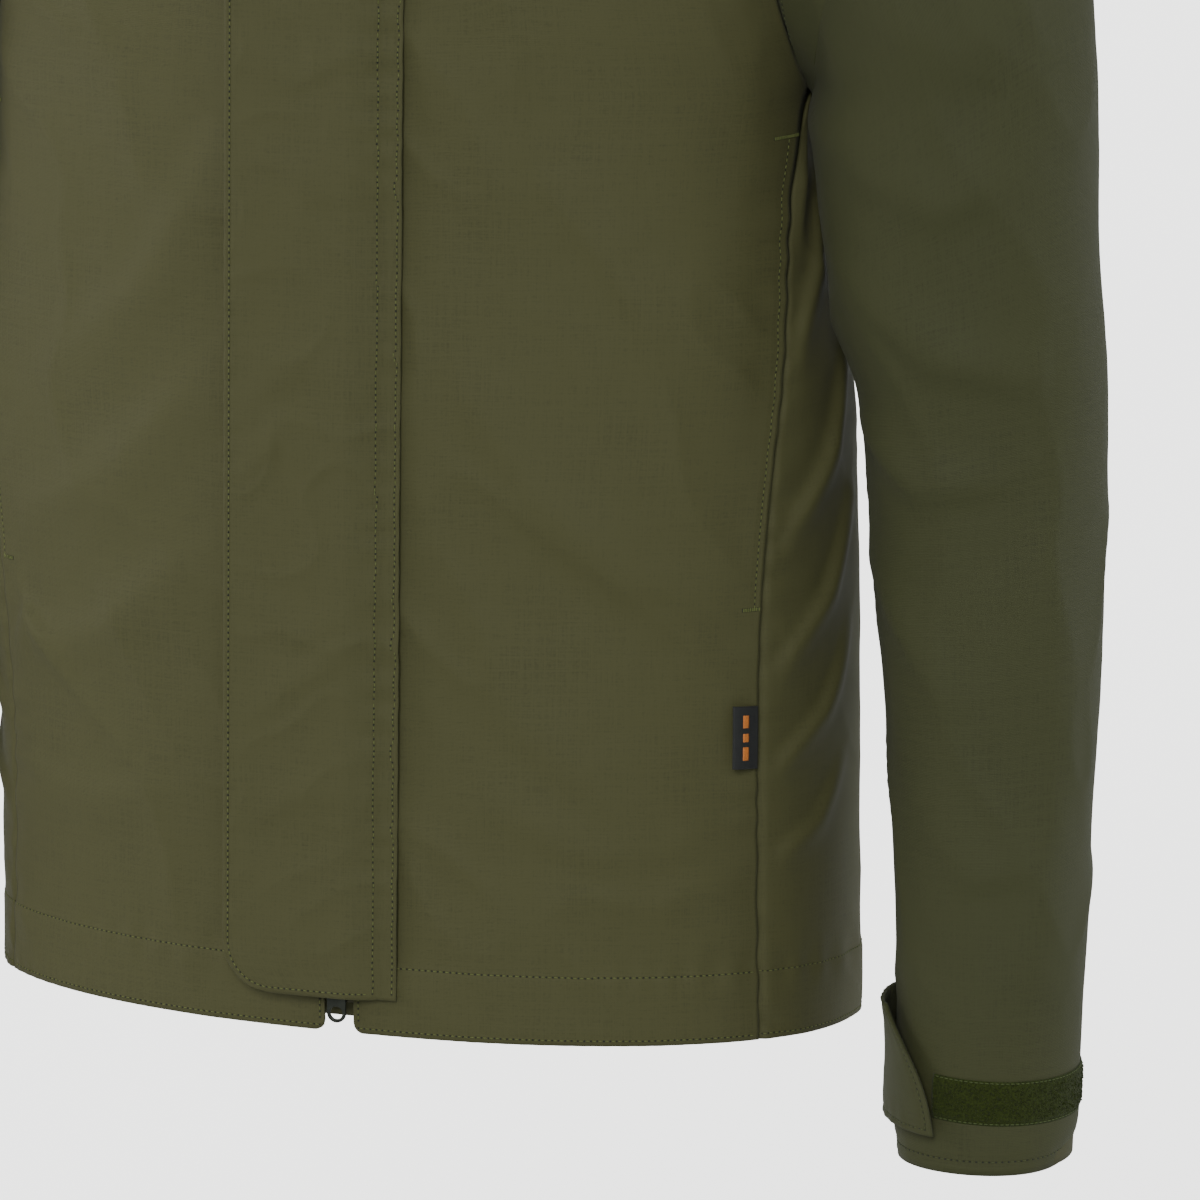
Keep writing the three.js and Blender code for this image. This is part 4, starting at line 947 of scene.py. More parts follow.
loop_pile, hook_pile = pile("loop_pile", LOOP_GREEN), pile("hook_pile", (0.014, 0.015, 0.012), 0.3)
for k in range(PATCH_COUNT):
    low = FLAP_BOTTOM + (k + 0.5) * (FLAP_TOP - FLAP_BOTTOM) / PATCH_COUNT - PATCH_HEIGHT / 2
    loops = cloth(f"loop_patch_{k + 1}", patch_sheet(low, LOOP_SEAT), 18, 50, rough_pile(2.0), 1.2)
    finish(loops, loop_pile, "jacket", "loop_tape", f"front_loop_patch_{k + 1}")
    hooks = cloth(f"hook_patch_{k + 1}", patch_sheet(low, HOOK_SEAT), 18, 50, rough_pile(1.2), 1.0)
    finish(hooks, hook_pile, "flap", "hook_tape", f"flap_hook_patch_{k + 1}")


# ---- Zip: a two-way zip of moulded teeth on twill tape, with dark metal sliders and pullers. The
# tapes are sewn behind the two front edges, and a pin ends each row at the hem.
ZIP_BOTTOM, ZIP_TOP, TAPE_WIDTH, TAPE_DEPTH, CHAIN_SPLIT = 14, 703, 14.5, 1.8, 2.0
TOOTH_PITCH, TOOTH_TIP_X, TOOTH_WIDTH, TOOTH_DEPTH, TOOTH_HEIGHT = 2.6, 0.6, 3.0, 0.0022, 0.0014


def hard(name, colour, roughness, metallic, grain=0.2):
    """Moulded plastic or plated metal: fine grain, and worn, smoother patches."""
    parts = material, tree, shader, node = new_material(name)
    spot = node("ShaderNodeTexCoord").outputs["Object"]
    fine, wide = (node("ShaderNodeTexNoise", {"Vector": spot, "Scale": size, "Detail": 3.0}).outputs["Fac"]
                  for size in (900.0, 160.0))
    toned(parts, wide, times(colour, 0.75), times(colour, 1.3), 0.3, 0.75)
    rough = node("ShaderNodeMapRange", {"Value": fine, "To Min": roughness - 0.1,
                                        "To Max": roughness + 0.1})
    tree.links.new(rough.outputs[0], shader.inputs["Roughness"])
    bumped(parts, fine, grain, 0.0001)
    shader.inputs["Metallic"].default_value = metallic
    return material


SMALL_FACE = 4e-7


def rounded_copy(name, node, width, material, body, slot):
    """The CAD shape with its sharp edges eased, as a cast or moulded piece has them."""
    bm = bmesh.new()
    bm.from_mesh(bpy.data.objects[node].data)
    bmesh.ops.remove_doubles(bm, verts=bm.verts, dist=1e-6)
    bmesh.ops.dissolve_limit(bm, angle_limit=math.radians(2), verts=bm.verts, edges=bm.edges)
    bmesh.ops.recalc_face_normals(bm, faces=bm.faces)
    sharp = [edge for edge in bm.edges if edge.is_manifold and edge.calc_face_angle(0) > math.radians(35)]
    bmesh.ops.bevel(bm, geom=sharp, offset=width / 1000, offset_type="OFFSET", segments=2, profile=0.5,
                    affect="EDGES", clamp_overlap=True, material=-1)
    for face in bm.faces:
        face.smooth = face.calc_area() < SMALL_FACE
    finish(object_from(bm, name), material, body, slot, node)


def tape_sheet(u, v):
    x = mix(CHAIN_SPLIT / 2 + 0.3, CHAIN_SPLIT / 2 + 0.5 + TAPE_WIDTH, u)
    z = mix(ZIP_BOTTOM, ZIP_TOP, v)
    return closure(np.stack([x, np.full_like(x, TAPE_DEPTH), z], -1))


zip_tape_cloth = woven("zip_tape_cloth", (0.05, 0.048, 0.026), pitch=0.0009, bump=0.8)
gunmetal = hard("gunmetal", (0.036, 0.040, 0.034), 0.42, 0.85)
tooth_plastic = hard("tooth_plastic", (0.020, 0.021, 0.018), 0.45, 0.0)
for side, flip in SIDES:
    tape = cloth(f"zip_tape_cloth_{side}", tape_sheet, 12, 180, lambda u, v, p: 0.1 * cloudy(p, 9, 31),
                 thickness=0.6, flip=flip)
    finish(tape, zip_tape_cloth, "jacket", "zip_tape", f"zip_tape_{side}")
    sign = -1 if flip else 1
    teeth = bmesh.new()
    zs = np.arange(ZIP_BOTTOM + 15, ZIP_TOP - 9, TOOTH_PITCH) + (TOOTH_PITCH / 2 if flip else 0)
    for part in np.array_split(zs, 6):
        bm = bmesh.new()
        for z in part:
            x = sign * (TOOTH_TIP_X + TOOTH_WIDTH / 2)
            centre = Vector(place(closure([(x, 0.3, z)]))[0])
            scale = Matrix.Diagonal((TOOTH_WIDTH / 1000, TOOTH_DEPTH, TOOTH_HEIGHT, 1))
            bmesh.ops.create_cube(bm, size=1, matrix=Matrix.Translation(centre) @ scale)
        bmesh.ops.bevel(bm, geom=list(bm.edges), offset=0.0003, offset_type="OFFSET", segments=1,
                        profile=0.5, affect="EDGES", clamp_overlap=True, material=-1)
        pour(bm, teeth)
    chain = object_from(teeth, f"zip_chain_{side}")
    finish(chain, tooth_plastic, "jacket", "zip_teeth", f"zip_teeth_{side}")
    rounded_copy(f"insertion_pin_{side}", f"zip_pin_{side}", 0.5, gunmetal, "jacket", "zip_metal")
    rounded_copy(f"top_stop_{side}", f"zip_stop_{side}", 0.4, gunmetal, "jacket", "zip_metal")
for end in ("top", "bottom"):
    rounded_copy(f"{end}_slider_body", f"zip_slider_{end}", 0.3, gunmetal, f"{end}_slider", "zip_metal")
    rounded_copy(f"{end}_puller_tongue", f"zip_puller_{end}", 0.35, gunmetal, f"{end}_puller", "zip_metal")


# ---- Facings, hem turn-up and wind guard: strips of shell cloth inside the front edges and the hem,
# and a guard of the same cloth behind the zip. The hem's turn-up makes the tunnel for the drawcord.
FACING_WIDTH, FACING_OFFSET, FACING_HEIGHT, TUNNEL_OFFSET, LINING = 46, 3.0, 56, 6.2, 0.8
GUARD_FREE_X, GUARD_LOW = -26, 6.5
facing_cloth = woven("facing_cloth", times(OLIVE, 0.9))


def level_section(angle, z, depth=0.0):
    def at(a):
        x = half_width(z) * np.abs(np.cos(a)) ** (2 / SECTION_POWER) * np.sign(np.cos(a))
        deep = np.where(np.sin(a) < 0, -front_depth(z), back_depth(z))
        return x, deep * np.abs(np.sin(a)) ** (2 / SECTION_POWER)

    x, y = at(angle)
    (x0, y0), (x1, y1) = at(angle - 0.01), at(angle + 0.01)
    length = np.hypot(x1 - x0, y1 - y0)
    return np.stack([x - depth * (y1 - y0) / length, y + depth * (x1 - x0) / length, z + 0 * x], -1)


def hem_turn_up(u, v):
    start = -math.acos(((FACING_WIDTH + 1.5) / HEM_HALF_WIDTH) ** (SECTION_POWER / 2))
    angle = mix(start, math.pi - start, u)
    foot = hem_z(level_section(angle, np.zeros_like(u))[:, 1]) + 1.5
    near_hem = (TUNNEL_OFFSET - 1.6) * (1 - smooth(0, 0.16, v))
    return level_section(angle, foot + v * (FACING_HEIGHT - 1.5), TUNNEL_OFFSET - near_hem)


def lined_relief(size, height, seed):
    return lambda u, v, p: height * cloudy(p, size, seed) * smooth(0, 0.03, u * (1 - u) * 4)


turn_up = cloth("hem_turn_up", hem_turn_up, 240, 16, lambda u, v, p: 0.25 * cloudy(p, 18, 41), LINING)
finish(turn_up, facing_cloth, "jacket", "shell_cloth", "hem_facing")
facing = front_sheet(lambda z: ZIP_EDGE_X + 1.7, lambda z: FACING_WIDTH + 0 * z, lambda x: 1.5 + 0 * x, 7)
for side, flip in SIDES:
    strip = cloth(f"front_facing_cloth_{side}", facing, 14, 160, lined_relief(26, 0.5, 42), LINING, flip,
                  lift=-FACING_OFFSET)
    finish(strip, facing_cloth, "jacket", "shell_cloth", f"front_facing_{side}")


def wind_guard_sheet(u, v):
    x, z = mix(GUARD_FREE_X, FACING_WIDTH - 4, u), mix(GUARD_LOW, NECK_Z - FRONT_NECK_DROP - 8, v)
    return np.stack([x, front_y(x, z), z], -1)


guard = cloth("wind_guard_cloth", wind_guard_sheet, 26, 180, lined_relief(30, 0.6, 43), thickness=LINING,
              lift=-FACING_OFFSET - 3)
finish(guard, facing_cloth, "jacket", "shell_cloth", "wind_guard")


# ---- Drawcord and cord locks: an elastic cord in the hem's tunnel, gripped at each side by a moulded
# lock with a sprung button. The locks sit behind windows in the turn-up, at the front of each side.
def braid(name, colour):
    parts = material, tree, shader, node = new_material(name)
    spot = node("ShaderNodeTexCoord").outputs["Object"]
    lines = []
    for angle in (0.7, -0.7):
        turned = node("ShaderNodeMapping", {"Vector": spot, "Rotation": (0.0, angle, 0.0)}).outputs[0]
        lines.append(node("ShaderNodeTexWave", {"Vector": turned, "Scale": 300.0, "Distortion": 0.4},
                          bands_direction="X").outputs["Fac"])
    crossed = node("ShaderNodeMath", {0: lines[0], 1: lines[1]}, operation="MULTIPLY").outputs[0]
    toned(parts, crossed, times(colour, 0.6), times(colour, 1.7))
    bumped(parts, crossed, 0.7, 0.0003)
    shader.inputs["Roughness"].default_value = 0.75
    return material


black_braid = braid("black_braid", (0.014, 0.014, 0.013))
lock_plastic = hard("lock_plastic", (0.013, 0.013, 0.012), 0.5, 0.0, grain=0.35)
for slot in bpy.data.objects["hem_drawcord"].material_slots:
    slot.material = black_braid
for side, _ in SIDES:
    rounded_copy(f"lock_barrel_{side}", f"cord_lock_body_{side}", 0.25, lock_plastic, "jacket", "cord_lock")
    rounded_copy(f"lock_plunger_{side}", f"cord_lock_button_{side}", 0.4, lock_plastic,
                 f"lock_button_{side}", "cord_lock")


# ---- Lining: a smooth, darker cloth inside the whole body, cut a little short of the shell so that it
# hangs free above the hem. Its panels follow the shell's.
LINING_OFFSET, CHEST_LINING_OFFSET, LINING_TRIM, FRONT_LINING_TRIM = 7.0, 4.6, 44, 90
lining_cloth = woven("lining_cloth", (0.046, 0.048, 0.026), pitch=0.0004, roughness=0.48, bump=0.2,
                     sheen=0.1)


def band_top(z):
    return z + FACING_HEIGHT + 2


def lining_lift(u, v):
    return -mix(LINING_OFFSET, CHEST_LINING_OFFSET, np.clip((v - 0.55) / 0.12, 0, 1))


def side_lining(u, v):
    return side_sheet(lambda y: band_top(hem_z(y)))(mix(0.03, 0.97, u), 0.92 * v)


front_lining = front_sheet(lambda z: FACING_WIDTH + 1.5 + 0 * z, lambda z: front_seam_x(z) - 1.5,
                           lambda x: band_top(0) + 0 * x, FRONT_LINING_TRIM)
back_lining = back_sheet(lambda z: back_seam_x(z) - 1.5, lambda x: band_top(hem_z(back_y(x, 0))),
                         LINING_TRIM)
hang = lined_relief(44, 1.0, 51)
for side, flip in SIDES:
    piece = cloth(f"front_lining_cloth_{side}", front_lining, 50, 120, hang, LINING, flip, lift=lining_lift)
    finish(piece, lining_cloth, "jacket", "lining_cloth", f"lining_front_{side}")
    piece = cloth(f"side_lining_cloth_{side}", side_lining, 24, 80, hang, LINING, flip, lift=-LINING_OFFSET)
    finish(piece, lining_cloth, "jacket", "lining_cloth", f"lining_side_{side}")
piece = cloth("back_lining_cloth", back_lining, 110, 120, hang, LINING, lift=lining_lift)
finish(piece, lining_cloth, "jacket", "lining_cloth", "lining_back")


# ---- Pockets: a flat pouch of knitted mesh behind each front, open at the side seam.
POCKET_LOW, POCKET_HIGH, POCKET_WIDTH, POUCH = 165, 428, 128, 3.2
pocket_mesh = woven("pocket_mesh", (0.04, 0.042, 0.025), pitch=0.0016, bump=0.9, roughness=0.7)


def pocket_sheet(u, v):
    z = mix(POCKET_LOW, POCKET_HIGH, v)
    x = front_seam_x(z) - mix(POCKET_WIDTH, 6, mix(u, np.sin(u * math.pi / 2), 0.6))
    return np.stack([x, front_y(x, z), z], -1)


def pouch_lift(u, v):
    rim = np.minimum(np.minimum(u, 1 - u) * POCKET_WIDTH, np.minimum(v, 1 - v) * (POCKET_HIGH - POCKET_LOW))
    return -SHELL - 1.2 - 0.8 * (1 - smooth(0, 10, rim))


for side, flip in SIDES:
    bag = cloth(f"pocket_pouch_{side}", pocket_sheet, 40, 80, lined_relief(28, 0.3, 55), POUCH - 0.6, flip,
                lift=pouch_lift)
    finish(bag, pocket_mesh, "jacket", "pocket_mesh", f"pocket_bag_{side}")


# ---- Sleeves: one tube of shell cloth each, eased into the armhole and hanging a little forwards, with
# a loose lining and a turned-up cuff hem that is stitched close to its edge.
SLEEVE_RINGS = [
    ((260, 642), (202, 441), 0, 60), ((291, 610), (204, 433), -1, 64), ((314, 558), (207, 421), -2, 66),
    ((327, 495), (210, 399), -3, 64), ((332, 420), (216, 362), -5, 61), ((337, 340), (223, 310), -7, 57.5),
    ((340, 255), (232, 238), -12, 54), ((342, 170), (242, 160), -22, 50), ((342, 90), (249, 85), -34, 46.5),
    ((342, 30), (254, 30), -43, 44), ((342, CUFF_Z), (256, CUFF_Z), -53, 43),
]
RINGS, LAST_Z, CUFF_HEM, CUFF_ROW, ARMHOLE_TUCK = len(SLEEVE_RINGS), 30, 26, 6.3, 1.9
# The last value darkens and greens the sleeves' copy of the shell cloth: painted shade on the sleeves.
MM_PER_DEGREE, SLEEVE_FOLDS_GAIN, SLEEVE_PAINTED_SHADE = 0.82, 1.7, (0.67, 0.73, 0.70)
ring_values = [(*top, *low, middle, depth) for top, low, middle, depth in SLEEVE_RINGS]
ring_curve = [curve([(i + 1, value) for i, value in enumerate(column)]) for column in zip(*ring_values)]


def sleeve_point(turn, at):
    """turn 0 is the outer edge, a quarter turn back the front; at counts rings from the armhole."""
    ring_at = np.maximum(at, 1)
    top_x, top_z, low_x, low_z, middle, depth = (read(ring_at) for read in ring_curve)
    along = (1 + np.cos(turn)) / 2
    ring = np.stack([mix(low_x, top_x, along), middle + depth * np.sin(turn), mix(low_z, top_z, along)], -1)
    z = (SHOULDER_Z + UNDERARM_Z) / 2 + (SHOULDER_Z - UNDERARM_Z - 1) / 2 * np.cos(turn)
    x = armhole_x(z)
    hole = np.stack([x - 2.2, np.where(np.sin(turn) < 0, front_y(x, z), back_y(x, z)), z], -1)
    near = np.clip(at, 0, 1)[..., None]
    return np.where(near < 1, mix(hole, ring, near), ring)


def cuff_place(height):
    return RINGS - height / (LAST_Z - CUFF_Z)


def sleeve_sheet(u, v):
    return sleeve_point(2 * math.pi * u, (1 - v) * RINGS)


# Folds of the sleeve as ((turn in degrees, height) path, how proud, how wide); 180 is the body side.
SLEEVE_FOLDS = [
    ([(-150, 380), (-96, 330), (-40, 318)], 2.4, 15), ([(-160, 300), (-110, 268), (-64, 276)], 2.2, 13),
    ([(-30, 330), (-44, 240), (-40, 120), (-52, 20)], 2.0, 16),
    ([(-170, 240), (-126, 200), (-90, 160)], 1.8, 14),
    ([(-140, 430), (-90, 400), (-50, 420)], 2.0, 17), ([(120, 420), (80, 360), (40, 340)], 2.4, 17),
    ([(150, 330), (100, 280), (60, 270)], 2.2, 15), ([(60, 230), (90, 150), (110, 90)], 1.6, 15),
    ([(170, 470), (130, 450), (96, 460)], 2.2, 15), ([(-110, 500), (-76, 470), (-40, 500)], 1.8, 20),
    ([(-120, 120), (-90, 90), (-50, 96)], 1.2, 13),
]


def sleeve_relief(u, v, p):
    turn = (np.degrees(2 * math.pi * u) + 180) % 360 - 180
    near, z = (1 - v) * RINGS, p[:, 2]
    around = turn * MM_PER_DEGREE
    rise = 1.3 * cloudy(p, 80, 61) + 0.14 * cloudy(p, 15, 62)
    slant = np.stack([p[:, 0] + 0.5 * z, p[:, 1], 0.4 * z], -1)
    rise += (1 - 2 * np.abs(cloudy(slant, 50, 63))) ** 3
    for path, height, width in SLEEVE_FOLDS:
        rise += fold(around, z, [(a * MM_PER_DEGREE, b) for a, b in path], height, width)
    up = z - CUFF_Z
    calm = smooth(0, 1.2, near) * smooth(52, 96, up)
    hem = 0.5 * (1 - smooth(CUFF_HEM - 2, CUFF_HEM + 2, up)) + groove(up - CUFF_ROW, 0.4, 1.0)
    armhole = pucker(turn * 1.6, near * 18, 21, 12, 0.8, 64) - ARMHOLE_TUCK * np.exp(-(near / 0.1) ** 2)
    # The inner side is fuller above the elbow, and the crown is eased in just below the shoulder.
    inner = np.minimum(np.abs(turn + 160), np.abs(turn - 200))
    full = 9 * np.exp(-(inner / 42) ** 2) * smooth(300, 345, z) * (1 - smooth(428, 452, z))
    crown = 4.5 * np.exp(-(near / 0.35) ** 2) * np.exp(-(turn / 13) ** 2)
    # The cuff's end is squarer in section, and its outer and inner edges draw in.
    at_end, square = 1 - smooth(0, 24, up), 2.2 * np.sin(np.radians(2 * turn)) ** 2
    end = at_end * (square - 4.0 * at_end * np.cos(np.radians(turn)) ** 2)
    row = pucker(turn * 0.8, up - CUFF_ROW, 11, 5, 0.2, 65)
    return (SLEEVE_FOLDS_GAIN * rise * calm + hem * (up < 60) + armhole + full + crown + end
            + row * (up < 30))


def around_sleeve(turn0, turn1, height, count=120):
    turn = np.radians(np.linspace(turn0, turn1, count))
    return sleeve_point(turn, np.full(count, cuff_place(height)))


def sleeve_lining_sheet(u, v):
    return sleeve_point(2 * math.pi * u, mix(cuff_place(CUFF_HEM + 3), 1.6, v))


def cuff_hem_sheet(u, v):
    return sleeve_point(2 * math.pi * u, cuff_place(mix(0.6, CUFF_HEM, v)))


# The sleeves and cuff tabs take a darker, greener copy of the shell cloth, and their stitching a darker
# copy of the thread: painted shade.
sleeve_olive_painted_shade = tuple(c * shade for c, shade in zip(OLIVE, SLEEVE_PAINTED_SHADE))
sleeve_cloth_painted_shade = woven("sleeve_cloth_painted_shade", sleeve_olive_painted_shade, check=0.0051)
sleeve_thread_painted_shade = thread_material("sleeve_thread_painted_shade", (0.052, 0.064, 0.019))
for side, flip in SIDES:
    tube = cloth(f"sleeve_shell_{side}", sleeve_sheet, 110, 260, sleeve_relief, flip=flip, ring=True)
    finish(tube, sleeve_cloth_painted_shade, "jacket", "shell_cloth", f"sleeve_{side}")
    inner = cloth(f"sleeve_lining_cloth_{side}", sleeve_lining_sheet, 48, 120, hang, LINING, flip, True,
                  lift=-FACING_OFFSET)
    finish(inner, lining_cloth, "jacket", "lining_cloth", f"sleeve_lining_{side}")
    hem = cloth(f"cuff_turn_up_{side}", cuff_hem_sheet, 72, 8, None, LINING, flip, True, lift=-SHELL - 0.3)
    finish(hem, facing_cloth, "jacket", "shell_cloth", f"cuff_facing_{side}")
    sign = np.array([-1.0 if flip else 1.0, 1, 1])
    turn = np.linspace(0, 2 * math.pi, 160)
    rows = [around_sleeve(0, 360, CUFF_ROW) * sign, sleeve_point(turn, np.full(160, 0.16)) * sign]
    stitches(f"sleeve_stitching_{side}", tube, rows, sleeve_thread_painted_shade, "jacket")


# ---- Cuff closures: a band of loop tape sewn round the front and outside of each cuff, and a tapering
# tab of doubled shell cloth, sewn down behind the inner side and lying half open over the tape.
TAPE_BAND_LOW, TAPE_BAND_HEIGHT, TAPE_BAND_DIP, TAB_LOW, TAB_HEIGHT, TAB_LENGTH = 25, 20, 3.4, 17, 54, 66
TAB_ROOT, TAB_TIP_TOP, TAB_TIP_LOW, TAB_TIP_BULGE, TAB_STANDOFF = -205, -146, -104, 9, 4.2


def loop_band(u, v):
    turn = np.radians(mix(TAB_TIP_LOW - 6, 150, u))
    dip = TAPE_BAND_DIP * (1 + np.cos(turn)) / 2
    return sleeve_point(turn, cuff_place(TAPE_BAND_LOW + TAPE_BAND_HEIGHT * v - dip))


def band_relief(u, v, p):
    selvedge = np.minimum(v, 1 - v) * TAPE_BAND_HEIGHT
    return 0.6 + 0.8 * smooth(1.2, 2.6, selvedge) + 0.25 * cloudy(p, 1.6, 71) * smooth(1.5, 3, selvedge)


def tab_sheet(u, v):
    tip = mix(TAB_TIP_LOW, TAB_TIP_TOP, v) + TAB_TIP_BULGE * np.sin(math.pi * v)
    turn = np.radians(mix(TAB_ROOT, tip, u))
    return sleeve_point(turn, cuff_place(TAB_LOW + TAB_HEIGHT * v))


def tab_lift(u, v):
    curl = 2.4 * smooth(0.55, 1, u) + 1.5 * np.sin(math.pi * u) * (v - 0.4)
    return mix(1.6, TAB_STANDOFF + 1.4, np.clip(u / 0.2, 0, 1)) + curl


def tab_relief(u, v, p):
    edge = np.minimum(np.minimum(v, 1 - v) * TAB_HEIGHT, (1 - u) * TAB_LENGTH)
    rise = (0.8 * cloudy(p, 24, 72) + 0.15 * cloudy(p, 8, 73)) * smooth(0, 10, edge)
    return (rise + 0.4 * np.exp(-(edge / 3) ** 2) + groove(edge - 2.4, 0.35, 0.8)
            + pucker(u * 70, edge, 11, 7, 0.25, 74))


def hook_pad(u, v):
    return tab_sheet(mix(0.62, 0.96, u), mix(0.18, 0.5, v))


tape_thread = thread_material("tape_thread", (0.060, 0.085, 0.022))
root_low, root_high = (sleeve_point(np.array([math.radians(TAB_ROOT)]), np.array([cuff_place(h)]))[0]
                       for h in (TAB_LOW, TAB_LOW + TAB_HEIGHT))
for side, flip in SIDES:
    sign = np.array([-1.0 if flip else 1.0, 1, 1])
    band = cloth(f"loop_band_{side}", loop_band, 170, 26, band_relief, 1.2, flip)
    finish(band, loop_pile, "jacket", "loop_tape", f"loop_tape_{side}")
    tufts(f"loop_band_pile_{side}", band, lambda u, v: loop_band(u, v) * sign, 2400, 0.5, loop_pile,
          "jacket", 7)
    along = np.linspace(0.005, 0.995, 120)
    edges = [loop_band(along, np.full(120, share)) * sign for share in (0.045, 0.955)]
    stitches(f"loop_band_stitching_{side}", band, edges, tape_thread, "jacket", pitch=2.4, length=2.3,
             hole=0.2)
    tab = cloth(f"tab_shell_{side}", tab_sheet, 60, 44, tab_relief, 1.8, flip, lift=tab_lift)
    # The tab takes the sleeves' darker cloth, with its painted shade.
    finish(tab, sleeve_cloth_painted_shade, None, "shell_cloth", f"cuff_tab_{side}")
    pad = cloth(f"tab_hooks_{side}", hook_pad, 20, 14, rough_pile(1.2), 0.9, flip,
                lift=lambda u, v: tab_lift(mix(0.62, 0.96, u), mix(0.18, 0.5, v)) - 1.8)
    finish(pad, hook_pile, f"tab_{side}", "hook_tape", f"cuff_tab_hook_{side}")
    u_in = np.linspace(0.06, 0.965, 60)
    v_in = np.linspace(0.045, 0.955, 40)
    border = [tab_sheet(u_in, np.full(60, share)) * sign for share in (0.045, 0.955)]
    border.append(tab_sheet(np.full(40, 0.965), v_in) * sign)
    sewn = stitches(f"tab_stitching_{side}", tab, border, sleeve_thread_painted_shade, None, pitch=2.7)
    for piece in (freeze(tab), sewn):
        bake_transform(piece)


# ---- Collar: a stand-up collar of two layers of cloth, stitched round its top edge, with the hanger
# loop of black ribbon and a plain neck label inside the back.
COLLAR_HEIGHT, COLLAR_SIDE_DIP, COLLAR_SINK, COLLAR_LINING_SINK, FRONT_SHARE = 70, 12, 5, 11, 0.46


def neck_base(s):
    t = 2 * np.minimum(s, 1 - s)
    side = np.where(s < 0.5, 1.0, -1.0)
    x_front = mix(ZIP_EDGE_X, NECK_X, np.sin(np.clip(t / FRONT_SHARE, 0, 1) * math.pi / 2))
    x_back = NECK_X * np.cos(np.clip((t - FRONT_SHARE) / (1 - FRONT_SHARE), 0, 1) * math.pi / 2)
    in_front = t < FRONT_SHARE
    z = np.where(in_front, front_neck_z(x_front), back_neck_z(x_back))
    x = np.where(in_front, x_front, x_back)
    y = np.where(in_front, front_y(x_front, front_neck_z(x_front)), back_y(x_back, back_neck_z(x_back)))
    return side * x, y, z


def collar_sheet(low, high, sink):
    """sink is how far the foot goes down inside the body towards the back of the neck."""
    def at(u, v):
        u = np.clip(u, 0, 1)
        x, y, z = neck_base(u)
        dip = COLLAR_SIDE_DIP * np.sin(math.pi * np.clip(2 * np.minimum(u, 1 - u) / 0.92, 0, 1)) ** 2
        rise = mix(low - sink * smooth(0.35, 0.6, 2 * np.minimum(u, 1 - u)), high - dip, v)
        inward = np.stack([-x, -10 - y], -1)
        inward /= np.linalg.norm(inward, axis=-1, keepdims=True)
        inward *= (FRONT_LEAN * rise)[:, None]
        moved = smooth(ZIP_EDGE_X, ZIP_EDGE_X + 10, np.abs(x))
        return np.stack([x + moved * inward[:, 0], y + inward[:, 1], z + rise], -1)

    return at


def collar_relief(u, v, p):
    ends = smooth(0, 0.03, np.minimum(u, 1 - u))
    rise = cloudy(p, 60, 81) + 0.5 * (1 - 2 * np.abs(cloudy(p, 36, 82))) ** 3
    rise *= ends * smooth(0, 0.2, v)
    top = (1 - v) * COLLAR_HEIGHT
    foot = 1.7 * (1 - smooth(0, 0.12, v))
    return (rise + 0.5 * np.exp(-(top / 4) ** 2) + groove(top - 4, 0.4, 0.9) - foot
            + pucker(u * 480, v * 67, 19, 11, 0.7, 83))


outer_sheet = collar_sheet(-2, COLLAR_HEIGHT, COLLAR_SINK)
outer = cloth("collar_shell", outer_sheet, 210, 34, collar_relief, SHELL)
finish(outer, shell_cloth, "jacket", "shell_cloth", "collar_outer")


def collar_lining_sheet(u, v):
    return collar_sheet(2, COLLAR_HEIGHT - 1, COLLAR_LINING_SINK)(mix(0.012, 0.988, u), v)


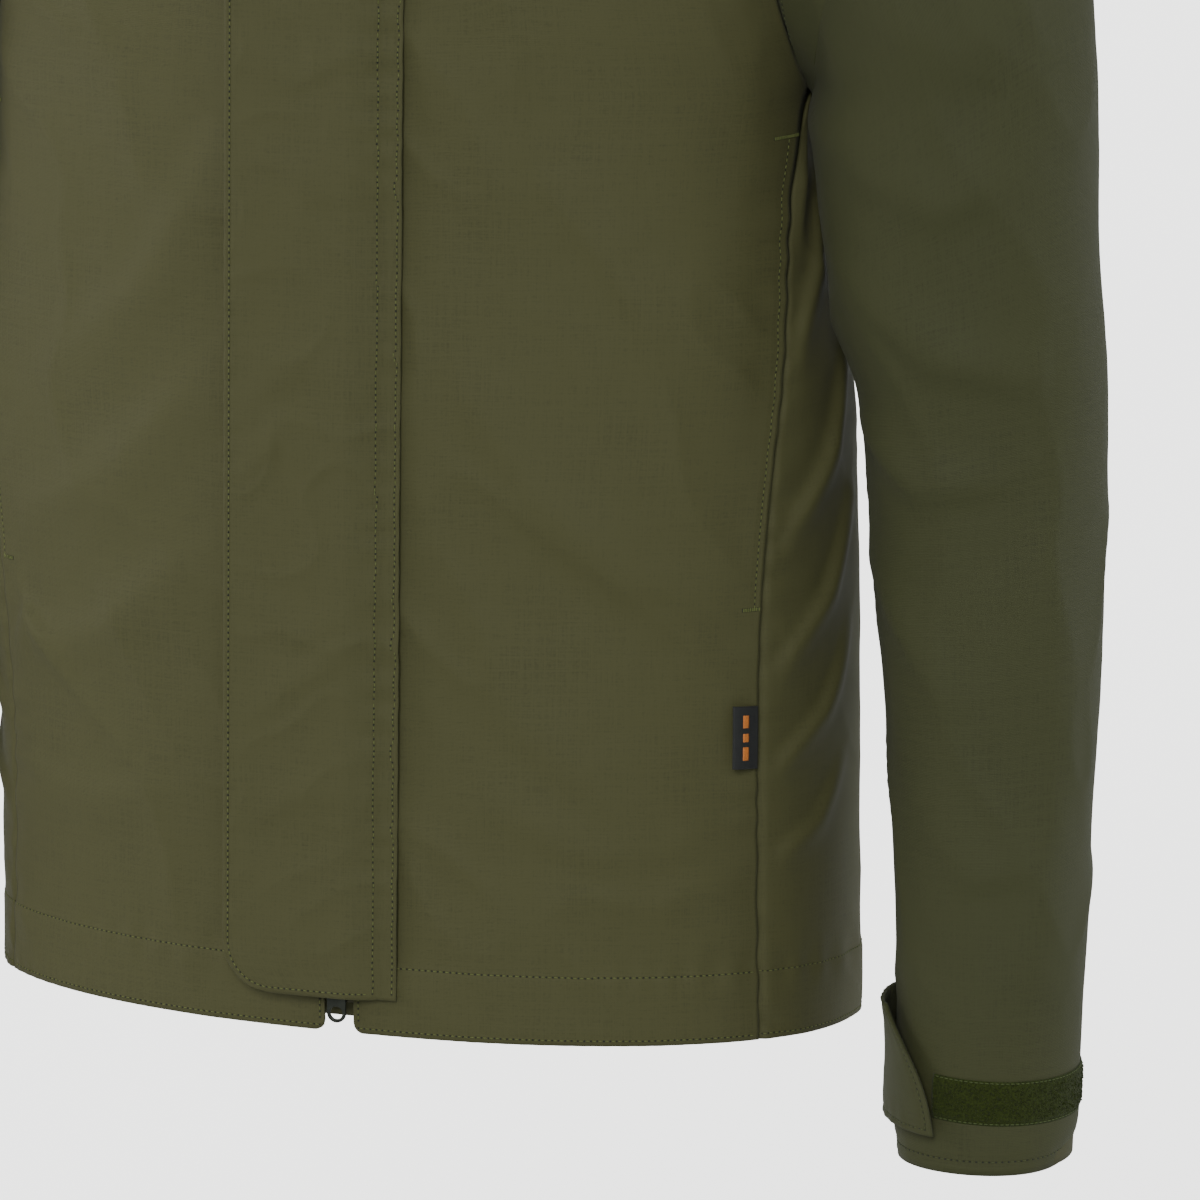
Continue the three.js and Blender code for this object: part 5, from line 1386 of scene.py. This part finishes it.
inner = cloth("collar_lining_cloth", collar_lining_sheet, 150, 20, lined_relief(30, 0.4, 84), LINING,
              lift=lambda u, v: -mix(FACING_OFFSET, 1.3, smooth(0.85, 1, v)))
finish(inner, lining_cloth, "jacket", "lining_cloth", "collar_lining")
around = np.linspace(0.006, 0.994, 260)
rows = [outer_sheet(around, np.full(260, height)) for height in (0.942, 0.05)]
stitches("collar_stitching", outer, rows, olive_thread, "jacket")
ribbon = woven("ribbon_weave", (0.015, 0.015, 0.014), pitch=0.0008, bump=0.8, roughness=0.55)
LOOP_HALF_WIDTH, LOOP_RISE, LOOP_BAND, LOOP_STANDOFF = 24, 18, 8, 10.4
centre = np.array(0.0)
LOOP_Y = float(back_y(centre, back_neck_z(centre))) - FACING_OFFSET - LINING - LOOP_BAND - LOOP_STANDOFF
LOOP_FOOT = NECK_Z - BACK_NECK_DROP + 6


def hanger_sheet(u, v):
    x = -np.cos(math.pi * v) * LOOP_HALF_WIDTH
    return np.stack([x, LOOP_Y + LOOP_BAND * u, LOOP_FOOT + np.sin(math.pi * v) * LOOP_RISE], -1)


hanger = cloth("hanger_ribbon", hanger_sheet, 8, 60, lambda u, v, p: 0.12 * np.cos(2 * math.pi * u), 1.5)
finish(hanger, ribbon, "jacket", "ribbon", "hanger_loop")


def neck_label_sheet(u, v):
    x, z = mix(24, -24, u), mix(625, 665, v)
    return np.stack([x, back_y(x, z), z], -1)


label_weave = woven("label_weave", (0.017, 0.018, 0.019), pitch=0.0006, bump=0.6, roughness=0.5)
label = cloth("neck_label_weave", neck_label_sheet, 24, 20, None, 0.8,
              lift=-(CHEST_LINING_OFFSET + LINING + 2.3))
finish(label, label_weave, "jacket", "label", "neck_label")


# ---- Side label: a small folded black label caught in the left side seam, with a plain woven orange
# mark of three bars. It stands off the cloth.
def side_label_sheet(u, v):
    z = mix(132, 162, v) - 1.6 * u
    x = front_seam_x(z) - mix(11, 0.6, u)
    return np.stack([x, front_y(x, z), z], -1)


def side_label_lift(u, v):
    return 1.2 + 3.4 * np.sin(math.pi * (1 - u) / 2) ** 1.5 + 0.3 * np.sin(3 * v)


tag = cloth("side_label_weave", side_label_sheet, 20, 50, None, 0.9, lift=side_label_lift)
finish(tag, label_weave, "jacket", "label", "side_label")
orange = thread_material("orange_thread", (0.55, 0.17, 0.03))


def mark_sheet(low, high):
    return lambda u, v: side_label_sheet(mix(0.38, 0.62, u), mix(low, high, v))


for k, (low, high) in enumerate(((0.14, 0.36), (0.42, 0.58), (0.64, 0.86))):
    bar = cloth(f"label_mark_{k + 1}", mark_sheet(low, high), 4, 8, None, 0.25,
                lift=lambda u, v: side_label_lift(mix(0.38, 0.62, u), v) + 0.2)
    bar.data.materials.append(orange)
    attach(bar, "jacket")

low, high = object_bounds()
